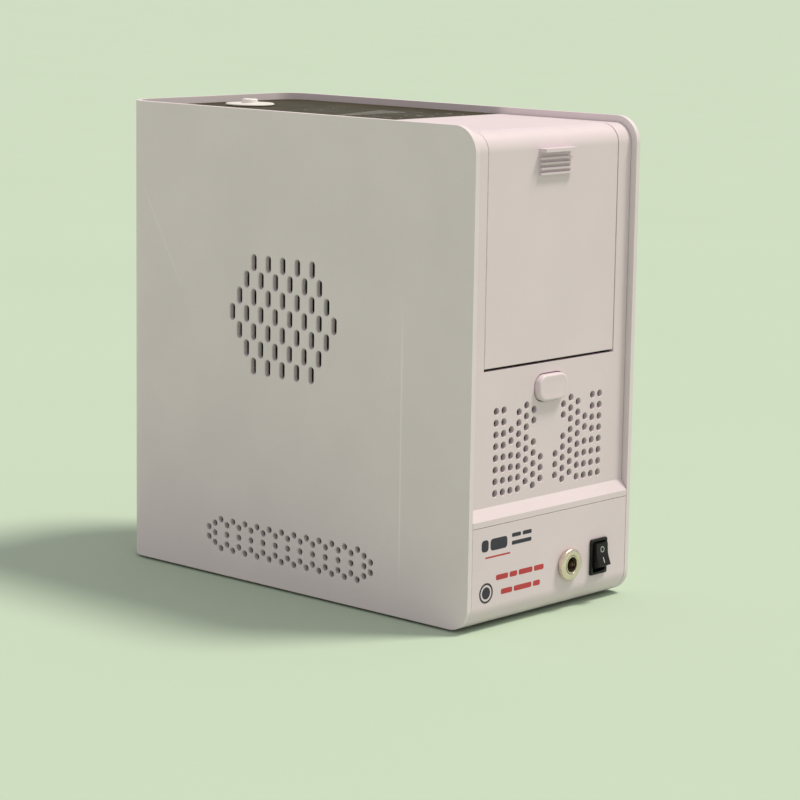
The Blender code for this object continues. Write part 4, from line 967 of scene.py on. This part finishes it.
def make_switch():
    low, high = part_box("switch_body")
    centre = face_centre("switch_body")
    half_wide = (high.x - low.x) / 2
    half_tall = (high.z - low.z) / 2
    bm = bmesh.new()
    stages = [(behind(-GAP), 0.0), (behind(-0.0009), 0.0), (behind(-0.0013), 0.0002), (low.y, 0.0007)]
    rings = []
    for y, inset in stages:
        outline = rounded_rectangle(centre, half_wide - inset, half_tall - inset, 0.0012 - inset * 0.6, 5)
        rings.append([place("Y", pair, y) for pair in outline])
    loft(bm, rings)
    body = make_object("switch_bezel", bm)
    core_low = (centre[0] - CORE_HALF_WIDTH, behind(-0.001), centre[1] - CORE_HALF_TALL)
    core_high = (centre[0] + CORE_HALF_WIDTH, behind(0.016), centre[1] + CORE_HALF_TALL)
    carve(body, box_object("core", core_low, core_high, 0.0004, 2), "UNION")
    bm = bmesh.new()

    def well(offset):
        return rounded_rectangle(centre, 0.0053 + offset, 0.0087 + offset, 0.0004 + offset, 4)

    loft(bm, flared(well, "Y", low.y, behind(0.0065), 0.0004))
    carve(body, make_object("well", bm))
    for z in (centre[1] - 0.005, centre[1] + 0.005):
        low = (centre[0] - 0.0024, behind(0.0155), z - 0.0004)
        high = (centre[0] + 0.0024, behind(0.024), z + 0.0004)
        carve(body, box_object("terminal", low, high, 0.0002, 1), "UNION")
    dress(body, SWITCH_BLACK, node="switch_body")
    steps = 16
    upright = [ROCKER_HALF - 2 * ROCKER_HALF * step / steps for step in range(steps + 1)]
    outline = [tilted(rocker_out(z), z) for z in upright]
    skirts = ((0.003, -0.0076), (-0.0015, -0.003), (-0.0015, 0.003), (0.003, 0.0076))
    outline += [tilted(out, z) for out, z in skirts]
    bm = bmesh.new()
    add_prism(bm, outline, "X", centre[0] - ROCKER_HALF_WIDTH, centre[0] + ROCKER_HALF_WIDTH)
    soften(bm, 0.0004, 3, 35.0)
    dress(make_object("rocker_key", bm), SWITCH_BLACK, "power_rocker", "switch_rocker")
    bm = bmesh.new()
    sunk, proud = -0.0002, 0.00004
    loops = [
        on_rocker(centre[0], circle((0.0, CIRCLE_MARK_HEIGHT), radius, 32), lift)
        for radius, lift in tube(0.00125, 0.0017, sunk, proud)
    ]
    loft(bm, loops, closed=True)
    bar = rounded_rectangle((0.0, BAR_MARK_HEIGHT), 0.00032, 0.0017, 0.0003, 3)
    loft(bm, [on_rocker(centre[0], bar, lift) for lift in (sunk, proud)])
    dress(make_object("rocker_marks", bm), MARK_WHITE, "power_rocker")


# --- Top ---

CAP_CENTRE = middle_of("filler_cap")
NECK_RADIUS = 0.009
NECK_BORE = 0.0065


def make_top():
    deck_low, deck_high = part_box("top_deck")
    radius = REAR_CORNER_RADIUS - WALL - GAP
    outline = plan_outline(PANEL_HALF, deck_low.y, deck_high.y, radius)
    deck = prism_object("deck_cover", outline, "Z", DECK_BOTTOM, DECK_TOP)
    soften_object(deck, 0.0004, 3, 40.0)
    bm = bmesh.new()
    add_box(bm, (-WIDE, TOUCH_FRONT - GAP, TOUCH_BOTTOM - GAP), (WIDE, BACK + PAST, DECK_TOP + PAST))
    carve(deck, make_object("pocket", bm))
    neck = circle((CAP_CENTRE.x, CAP_CENTRE.y), NECK_RADIUS + GAP, 40)
    carve(deck, prism_object("neck_hole", neck, "Z", DECK_BOTTOM - PAST, DECK_TOP + PAST))
    dress(deck, FASCIA, node="top_deck")
    outline = plan_outline(PANEL_HALF, TOUCH_FRONT, deck_high.y, radius)
    panel = prism_object("touch_glass_panel", outline, "Z", TOUCH_BOTTOM, DECK_TOP)
    carve(panel, prism_object("neck_hole", neck, "Z", DECK_BOTTOM - PAST, DECK_TOP + PAST))
    soften_object(panel, 0.00025, 2, 40.0)
    dress(panel, GLASS, node="touch_panel")


def make_touch_prints():
    """Faint key outlines, level bars and step signs under the finger; no lettering."""
    base = DECK_TOP - 0.00004
    top = DECK_TOP + 0.00005
    line = 0.0005
    middle = TOUCH_FRONT + 0.052
    keys = TOUCH_FRONT + 0.0155
    lamps = middle + 0.036
    bm = bmesh.new()
    loops = []
    for inset, z in tube(line, 0.0, base, top):
        outline = rounded_rectangle((0.0, middle), 0.036 - inset, 0.021 - inset, 0.003 - inset * 0.8, 5)
        loops.append([place("Z", pair, z) for pair in outline])
    loft(bm, loops, closed=True)
    shapes = []
    for level in range(10):
        half_tall = 0.003 + 0.0009 * level
        at = (-0.0285 + level * 0.0063, middle - 0.012 + half_tall)
        shapes.append(rounded_rectangle(at, 0.0018, half_tall, 0.0006, 3))
    shapes += [rounded_rectangle((x, keys), 0.0035, 0.0005, 0.0004, 2) for x in (-0.0405, -0.0135)]
    shapes += [rounded_rectangle((-0.0135, keys + y), 0.0005, 0.0014, 0.0004, 2) for y in (-0.0021, 0.0021)]
    for x, up in ((0.0135, 1), (0.0405, -1)):
        foot = keys - up * 0.0024
        shapes.append([(x - 0.003, foot), (x + 0.003, foot), (x, keys + up * 0.003)])
    for shape in shapes:
        add_prism(bm, shape, "Z", base, top)
    rings = [((index - 1.5) * 0.027, keys, 0.0078) for index in range(4)]
    rings += [(0.0, lamps, 0.005), (-0.022, lamps, 0.0032), (0.022, lamps, 0.0032)]
    for x, y, radius in rings:
        add_turned(bm, tube(radius, radius + line, base, top), (x, y, 0.0), "Z", 40)
    dress(make_object("touch_prints", bm), PRINT_PALE)


def make_cap():
    axis = (CAP_CENTRE.x, CAP_CENTRE.y, 0.0)
    low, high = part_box("filler_cap")
    disc = (high.x - low.x) / 2
    disc_low = DECK_TOP + GAP
    disc_top = disc_low + 0.001
    stem = NECK_BORE - 0.0004
    groove = NECK_BORE - 0.0016
    groove_low = DECK_TOP - 0.0075
    groove_high = DECK_TOP - 0.0055
    hub = 0.0048
    profile = along(low.z, (0.0, 0.0), (stem - 0.0006, 0.0), (stem, 0.0006))
    profile += [(stem, groove_low), (groove, groove_low), (groove, groove_high), (stem, groove_high)]
    profile += along(disc_low, (stem, 0.0), (disc - 0.0002, 0.0), (disc, 0.0003))
    profile += along(
        disc_top, (disc - 0.0001, -0.0003), (disc - 0.0005, 0.0), (hub + 0.0007, 0.0),
        (hub + 0.0002, 0.0002), (hub, 0.0007),
    )
    profile += along(
        high.z, (hub - 0.0001, -0.0005), (hub - 0.0006, 0.0), (hub - 0.0016, 0.0), (hub - 0.002, -0.0004),
        (0.0, -0.0005),
    )
    cap = turned_object("filler_cap_turned", profile, axis, "Z", 64)
    dress(cap, WHITE, "filler_cap", "filler_cap")
    low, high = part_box("cap_seal")
    section = (high.z - low.z) / 2
    profile = circle(((high.x - low.x) / 2 - section, (low.z + high.z) / 2), section, 12)
    dress(turned_object("cap_o_ring", profile, axis, "Z", 48), RUBBER, "filler_cap", "cap_seal")
    low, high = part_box("filler_neck")
    profile = eased(tube(NECK_BORE, NECK_RADIUS, low.z, high.z), 0.0005)
    neck = turned_object("filler_neck_turned", profile, axis, "Z", 48)
    dress(neck, GREY, node="filler_neck")


# --- Base and feet ---

CORNERS = ("front_left", "front_right", "rear_left", "rear_right")


def make_base():
    low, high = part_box("base_plate")
    outline = plan_outline(PANEL_HALF, low.y, high.y, REAR_CORNER_RADIUS - WALL - GAP)
    base = soften_object(prism_object("base_cover", outline, "Z", low.z, high.z), 0.0004, 2, 40.0)
    bm = bmesh.new()
    for corner in CORNERS:
        foot = middle_of("foot_" + corner)
        add_turned(bm, tube(0.0, 0.0063, -0.001, 0.0028), (foot.x, foot.y, 0.0), "Z", 40)
        screw = middle_of("base_screw_" + corner)
        hole = [(0.0, 0.0), (0.0034, 0.0), (0.0031, 0.0019), (0.0031, 0.0034), (0.0018, 0.0034)]
        hole += [(0.0018, 0.01), (0.0, 0.01)]
        add_turned(bm, hole, (screw.x, screw.y, 0.0), "Z", 32)
    carve(base, make_object("base_cutter", bm))
    bm = bmesh.new()
    for index in range(8):
        groove = rounded_rectangle((0.0, behind(0.1 + index * 0.011)), 0.022, 0.0018, 0.0017, 5)
        add_prism(bm, groove, "Z", low.z - 0.001, low.z + 0.0008)
    carve(base, make_object("base_grooves", bm))
    dress(base, FASCIA, node="base_plate")
    for corner in CORNERS:
        make_foot("foot_" + corner)
        make_screw("base_screw_" + corner)


def make_foot(name):
    low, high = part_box(name)
    centre = middle_of(name)
    radius = (high.x - low.x) / 2
    profile = [(0.0, 0.0004), (0.0035, 0.0004), (0.0038, 0.0), (radius - 0.0007, 0.0), (radius, 0.0007)]
    profile += along(high.z, (radius, -0.0002), (radius - 0.0002, 0.0), (0.0, 0.0))
    pad = turned_object(name + "_pad", profile, (centre.x, centre.y, 0.0), "Z", 40)
    dress(pad, RUBBER, node=name)


def make_screw(name):
    """A pan-head screw with a cross recess and a coarse thread."""
    low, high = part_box(name)
    centre = middle_of(name)
    head = 0.0028
    shank = 0.0014
    profile = along(
        low.z, (0.0, 0.0), (head * 0.55, 0.0001), (head * 0.9, 0.0005), (head, 0.001), (head, 0.0013),
        (shank, 0.0013),
    )
    thread = low.z + 0.002
    while thread < high.z - 0.0012:
        profile += along(thread, (shank - 0.0002, 0.0), (shank + 0.0001, 0.0003), (shank - 0.0002, 0.0006))
        thread += 0.0008
    profile += along(high.z, (shank - 0.0003, -0.0008), (0.0, 0.0))
    screw = turned_object(name + "_turned", profile, (centre.x, centre.y, 0.0), "Z", 28)
    for half_x, half_y in ((0.0014, 0.0003), (0.0003, 0.0014)):
        bm = bmesh.new()
        add_box(bm, (centre.x - half_x, centre.y - half_y, low.z - 0.001),
                (centre.x + half_x, centre.y + half_y, low.z + 0.0008))
        carve(screw, make_object("cross", bm))
    dress(screw, STEEL, node=name)


# --- Rear fittings ---


def make_rear_fittings():
    for name in REAR_FITTINGS:
        low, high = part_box(name)
        centre = middle_of(name)
        radius = (high.x - low.x) / 2 - FLANGE_REACH
        bore = radius - 0.0028
        profile = along(low.y, (bore, 0.0), (radius - 0.001, 0.0), (radius, 0.002))
        thread = low.y + 0.0026
        while thread < BACK - 0.0012:
            profile += along(thread, (radius, 0.0), (radius - 0.00045, 0.0004), (radius, 0.0008))
            thread += 0.001
        flange = radius + FLANGE_REACH
        profile += along(
            BACK, (radius, GAP), (flange - 0.0003, GAP), (flange, 0.0006), (flange, 0.0024),
            (flange - 0.0006, 0.003), (radius + 0.0004, 0.003), (radius, 0.0034),
        )
        if name == "oxygen_inlet":
            finish, slot = NICKEL, "nickel"
            barb = BACK + 0.005
            while barb < high.y - 0.003:
                profile += along(barb, (radius - 0.0008, 0.0), (radius, 0.0003), (radius - 0.0007, 0.0031))
                barb += 0.0033
        else:
            finish, slot = ALUMINIUM, "aluminium"
            neck = radius - 0.0005
            profile += along(
                BACK + 0.006, (radius - 0.0002, 0.0), (neck, 0.0004), (neck, 0.0016),
                (radius - 0.0002, 0.002),
            )
        profile += along(
            high.y, (radius - 0.0008, -0.0008), (radius - 0.0014, 0.0), (bore + 0.0006, 0.0), (bore, -0.0006)
        )
        fitting = turned_object(name + "_turned", profile, (centre.x, 0.0, centre.z), "Y", 56)
        dress(fitting, finish, node=name)
        make_nut(name + "_nut", centre, radius)


def make_nut(name, centre, radius):
    low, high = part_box(name)
    middle = (centre.x, centre.z)
    across = radius + 0.0045
    nut = prism_object(name + "_hex", circle(middle, across, 6), "Y", low.y, high.y)
    chamfer = 0.0008
    tip = across - chamfer * 2.2
    shoulder = across - chamfer * 1.6
    rim = across + 0.0004
    profile = along(low.y, (0.0, -0.001), (tip, -0.001), (shoulder, 0.0), (rim, chamfer))
    profile += along(high.y, (rim, -chamfer), (shoulder, 0.0), (tip, 0.001), (0.0, 0.001))
    carve(nut, turned_object("cone", profile, (centre.x, 0.0, centre.z), "Y", 48), "INTERSECT")
    carve(nut, prism_object("hole", circle(middle, radius + GAP, 40), "Y", low.y - 0.002, high.y + 0.002))
    dress(nut, STEEL, node=name)


# --- Canister bay ---


def make_bay():
    low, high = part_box("bay_liner")
    wall = 0.002
    liner = box_object("bay_tray", low, high, 0.0008, 2)
    halves = ((high.x - low.x) / 2 - wall, (high.z - low.z) / 2 - wall)
    outline = rounded_rectangle(face_centre("bay_liner"), *halves, 0.003, 6)
    carve(liner, prism_object("bay_hollow", outline, "Y", low.y - PAST, high.y - wall))
    dress(liner, GREY, node="bay_liner")
    low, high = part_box("strike_plate")
    middle = (low.z + high.z) / 2
    outline = rounded_rectangle((0.0, middle), high.x, (high.z - low.z) / 2, 0.0015)
    strike = prism_object("strike_plate_pressed", outline, "Y", low.y, high.y)
    soften_object(strike, 0.0002, 2, 40.0)
    recess = along(low.y, (0.0, -0.001), (0.0017, -0.001), (0.0014, 0.0002), (0.0, 0.0006))
    bm = bmesh.new()
    for x in (-0.006, 0.006):
        add_turned(bm, recess, (x, 0.0, middle), "Y", 20)
    carve(strike, make_object("dimples", bm))
    dress(strike, STEEL, node="strike_plate")
    low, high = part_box("door_magnet")
    centre = middle_of("door_magnet")
    profile = rod((high.x - low.x) / 2, low.y, high.y)
    magnet = turned_object("door_magnet_disc", profile, (centre.x, 0.0, centre.z), "Y", 36)
    dress(magnet, NICKEL, "door", "door_magnet")


CUP_RADIUS = 0.029
CUP_WALL = 0.002
LID_RADIUS = 0.0305
LID_GRIPS = 36


def make_cup(axis):
    low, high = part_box("canister_cup")
    inner = CUP_RADIUS - CUP_WALL
    profile = along(low.z, (0.0, 0.0), (CUP_RADIUS - 0.0015, 0.0), (CUP_RADIUS, 0.0015))
    profile += along(
        high.z, (CUP_RADIUS - 0.0002, -0.004), (CUP_RADIUS, -0.0035), (CUP_RADIUS, -0.0003),
        (CUP_RADIUS - 0.0003, 0.0), (inner, 0.0),
    )
    profile += along(low.z, (inner, 0.003), (inner - 0.001, 0.002), (0.0, 0.002))
    cup = turned_object("canister_cup_clear", profile, axis, "Z", 72)
    dress(cup, CLEAR, node="canister_cup")


def make_lid(axis):
    low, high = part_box("canister_lid")
    top = low.z + 0.008
    profile = along(
        low.z, (0.0, 0.0), (LID_RADIUS - 0.0004, 0.0), (LID_RADIUS - 0.0002, 0.0006),
        (LID_RADIUS - 0.0002, 0.0052), (LID_RADIUS - 0.0006, 0.0062),
    )
    profile += along(top, (0.0287, -0.0004), (0.028, 0.0), (0.024, 0.0), (0.0234, -0.0005), (0.0, -0.0005))

    def grip(step, angle):
        return 0.0002 * math.cos(LID_GRIPS * angle) if step in (2, 3) else 0.0

    lid = turned_object("canister_lid_turned", profile, axis, "Z", LID_GRIPS * 4, grip)
    bm = bmesh.new()
    add_prism(bm, rounded_rectangle(axis[:2], 0.018, 0.003, 0.0029, 8), "Z", top - 0.001, high.z)
    soften(bm, 0.0007, 3, 50.0)
    carve(lid, make_object("lid_bar", bm), "UNION")
    dress(lid, GREY, node="canister_lid")


def make_canister():
    centre = middle_of("canister_cup")
    axis = (centre.x, centre.y, 0.0)
    make_cup(axis)
    make_granules()
    low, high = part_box("canister_gasket")
    gasket = turned_object("canister_gasket_ring", eased(tube(0.0245, 0.0285, low.z, high.z)), axis, "Z", 64)
    dress(gasket, RUBBER, node="canister_gasket")
    make_lid(axis)


def make_granules():
    """The bed of granules: its top is heaped a little and lumpy, and its side is dimpled."""
    low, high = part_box("canister_granules")
    centre = middle_of("canister_granules")
    radius = (high.x - low.x) / 2 - 0.0002
    layers = 34
    top = high.z - 0.002
    profile = [(0.0, low.z)] + [(radius * step / 3, low.z) for step in (1, 2, 3)]
    profile += [(radius, low.z + (high.z - low.z - 0.002) * step / layers) for step in range(1, layers + 1)]
    profile += [(radius * (1 - step / 12), top) for step in range(1, 12)] + [(0.0, top)]
    bm = bmesh.new()
    add_turned(bm, profile, (centre.x, centre.y, 0.0), "Z", 96)
    for vert in bm.verts:
        offset = vert.co - Vector((centre.x, centre.y, 0.0))
        lump = math.sin(offset.x * 2100.0 + offset.z * 900.0)
        lump *= math.sin(offset.y * 1900.0 - offset.z * 1300.0)
        if vert.co.z > high.z - 0.0021:
            vert.co.z += 0.0008 + 0.0006 * lump
        elif vert.co.z > low.z + 0.0001:
            shrink = 1.0 - 0.008 * (0.5 + 0.5 * lump)
            vert.co.x = centre.x + offset.x * shrink
            vert.co.y = centre.y + offset.y * shrink
    dress(make_object("granule_bed", bm), GRANULES, node="canister_granules", sharp=80.0)


# --- Inner pieces that keep their CAD shape ---


def finish_node(name, finish, ease):
    """Keep a CAD node, give it its material, and round its edges with modifiers."""
    item = frame["nodes"][name]
    item.data.materials.clear()
    item.data.materials.append(finish)
    weld = item.modifiers.new("weld", "WELD")
    weld.merge_threshold = 0.000005
    if ease:
        edge = item.modifiers.new("ease", "BEVEL")
        edge.width = ease
        edge.segments = 2
        edge.limit_method = "ANGLE"
        edge.angle_limit = math.radians(50.0)
    item.data.shade_smooth()
    even = item.modifiers.new("even_normals", "WEIGHTED_NORMAL")
    even.keep_sharp = True


INNER_FINISHES = (
    (ALUMINIUM, "aluminium",
     {"flush_valve": 0.0006, "vaporizer_tank": 0.0005, "vaporizer_block": 0.0008, "gas_manifold": 0.0006}),
    (STEEL, "steel", {"button_spring": 0.0, "pump_motor": 0.0008, "solenoid_valve": 0.0005}),
    (GRANULES, "granules", {"vaporizer_wick": 0.0}),
    (GREY, "grey_plastic", {"pump_head": 0.0008}),
    (RUBBER, "rubber", {"pump_cradle": 0.0006}),
    (COPPER, "copper", {"solenoid_coil": 0.0005}),
    (HOSE, "hose", {"hose_oxygen": 0.0, "hose_fresh_gas": 0.0, "hose_pump": 0.0}),
    (FAN_BLACK, "black_plastic", {"fan_frame": 0.0004, "fan_impeller": 0.0002}),
    (BLACK, "black_plastic", {"loudspeaker": 0.0003}),
    (BOARD, "circuit_board", {"main_board": 0.0002, "power_board": 0.0002, "touch_board": 0.0002}),
)


def finish_inner_nodes():
    for finish, slot, eases in INNER_FINISHES:
        for name, ease in eases.items():
            finish_node(name, finish, ease)


# --- Room: floor, light, camera ---


FLOOR_REACH = 60.0
FLOOR_TONES = ((0.486, 0.594, 0.47), (0.491, 0.6, 0.475))
SKY_COLOUR = (1.0, 0.948, 0.945, 1.0)
SKY_STRENGTH = 0.58
SUN_COLOUR = (1.0, 0.955, 0.83)
SUN_STRENGTH = 2.5
SUN_SPREAD = math.radians(14.0)
TOWARDS_SUN = Vector((0.35, -0.3, 0.89))
LENS = 122.5
CAMERA_PLACE = (-1.16117, FRONT - 0.94489, 0.37715)
CAMERA_AZIMUTH = math.radians(-47.56)
CAMERA_ELEVATION = math.radians(9.71)
CAMERA_ROLL = math.radians(0.87)


def make_floor():
    bm = bmesh.new()
    signs = ((-1, -1), (1, -1), (1, 1), (-1, 1))
    bm.faces.new([bm.verts.new((x * FLOOR_REACH, y * FLOOR_REACH, 0.0)) for x, y in signs])
    floor = make_object("floor", bm)
    shader = Shader("floor_paint")
    tone = shader.vary(3.0, 2.0, 0.0, 1.0)
    shader.set("Base Color", shader.mix(tone, *FLOOR_TONES))
    shader.set("Roughness", 0.9)
    shader.set("Specular IOR Level", 0.15)
    floor.data.materials.append(shader.material)


def make_light():
    world = bpy.data.worlds.new("studio")
    bpy.context.scene.world = world
    world.use_nodes = True
    back = world.node_tree.nodes["Background"]
    back.inputs["Color"].default_value = SKY_COLOUR
    back.inputs["Strength"].default_value = SKY_STRENGTH
    light = bpy.data.lights.new("key", "SUN")
    light.energy = SUN_STRENGTH
    light.angle = SUN_SPREAD
    light.color = SUN_COLOUR
    key = bpy.data.objects.new("key", light)
    bpy.context.scene.collection.objects.link(key)
    key.rotation_euler = TOWARDS_SUN.to_track_quat("Z", "Y").to_euler()


def make_camera():
    """A long lens, from the front left and a little above."""
    data = bpy.data.cameras.new("camera")
    data.lens = LENS
    data.sensor_width = 36.0
    data.clip_end = 200.0
    camera = bpy.data.objects.new("camera", data)
    bpy.context.scene.collection.objects.link(camera)
    forward = Vector((-math.sin(CAMERA_AZIMUTH), math.cos(CAMERA_AZIMUTH), 0.0)) * math.cos(CAMERA_ELEVATION)
    forward.z = -math.sin(CAMERA_ELEVATION)
    right = forward.cross(Vector((0.0, 0.0, 1.0))).normalized()
    up = right.cross(forward)
    turned_right = right * math.cos(CAMERA_ROLL) + up * math.sin(CAMERA_ROLL)
    turned_up = up * math.cos(CAMERA_ROLL) - right * math.sin(CAMERA_ROLL)
    turn = Matrix((turned_right, turned_up, -forward)).transposed().to_4x4()
    camera.matrix_world = Matrix.Translation(CAMERA_PLACE) @ turn
    bpy.context.scene.camera = camera
    bpy.context.scene.view_settings.view_transform = "Standard"


for make in (
    make_camera, make_floor, make_light, make_casing, make_chin, make_fascia, make_door, make_hinge_pins,
    make_prints, make_button, make_inlet, make_switch, make_top, make_touch_prints, make_cap, make_base,
    make_rear_fittings, make_bay, make_canister, finish_inner_nodes,
):
    make()
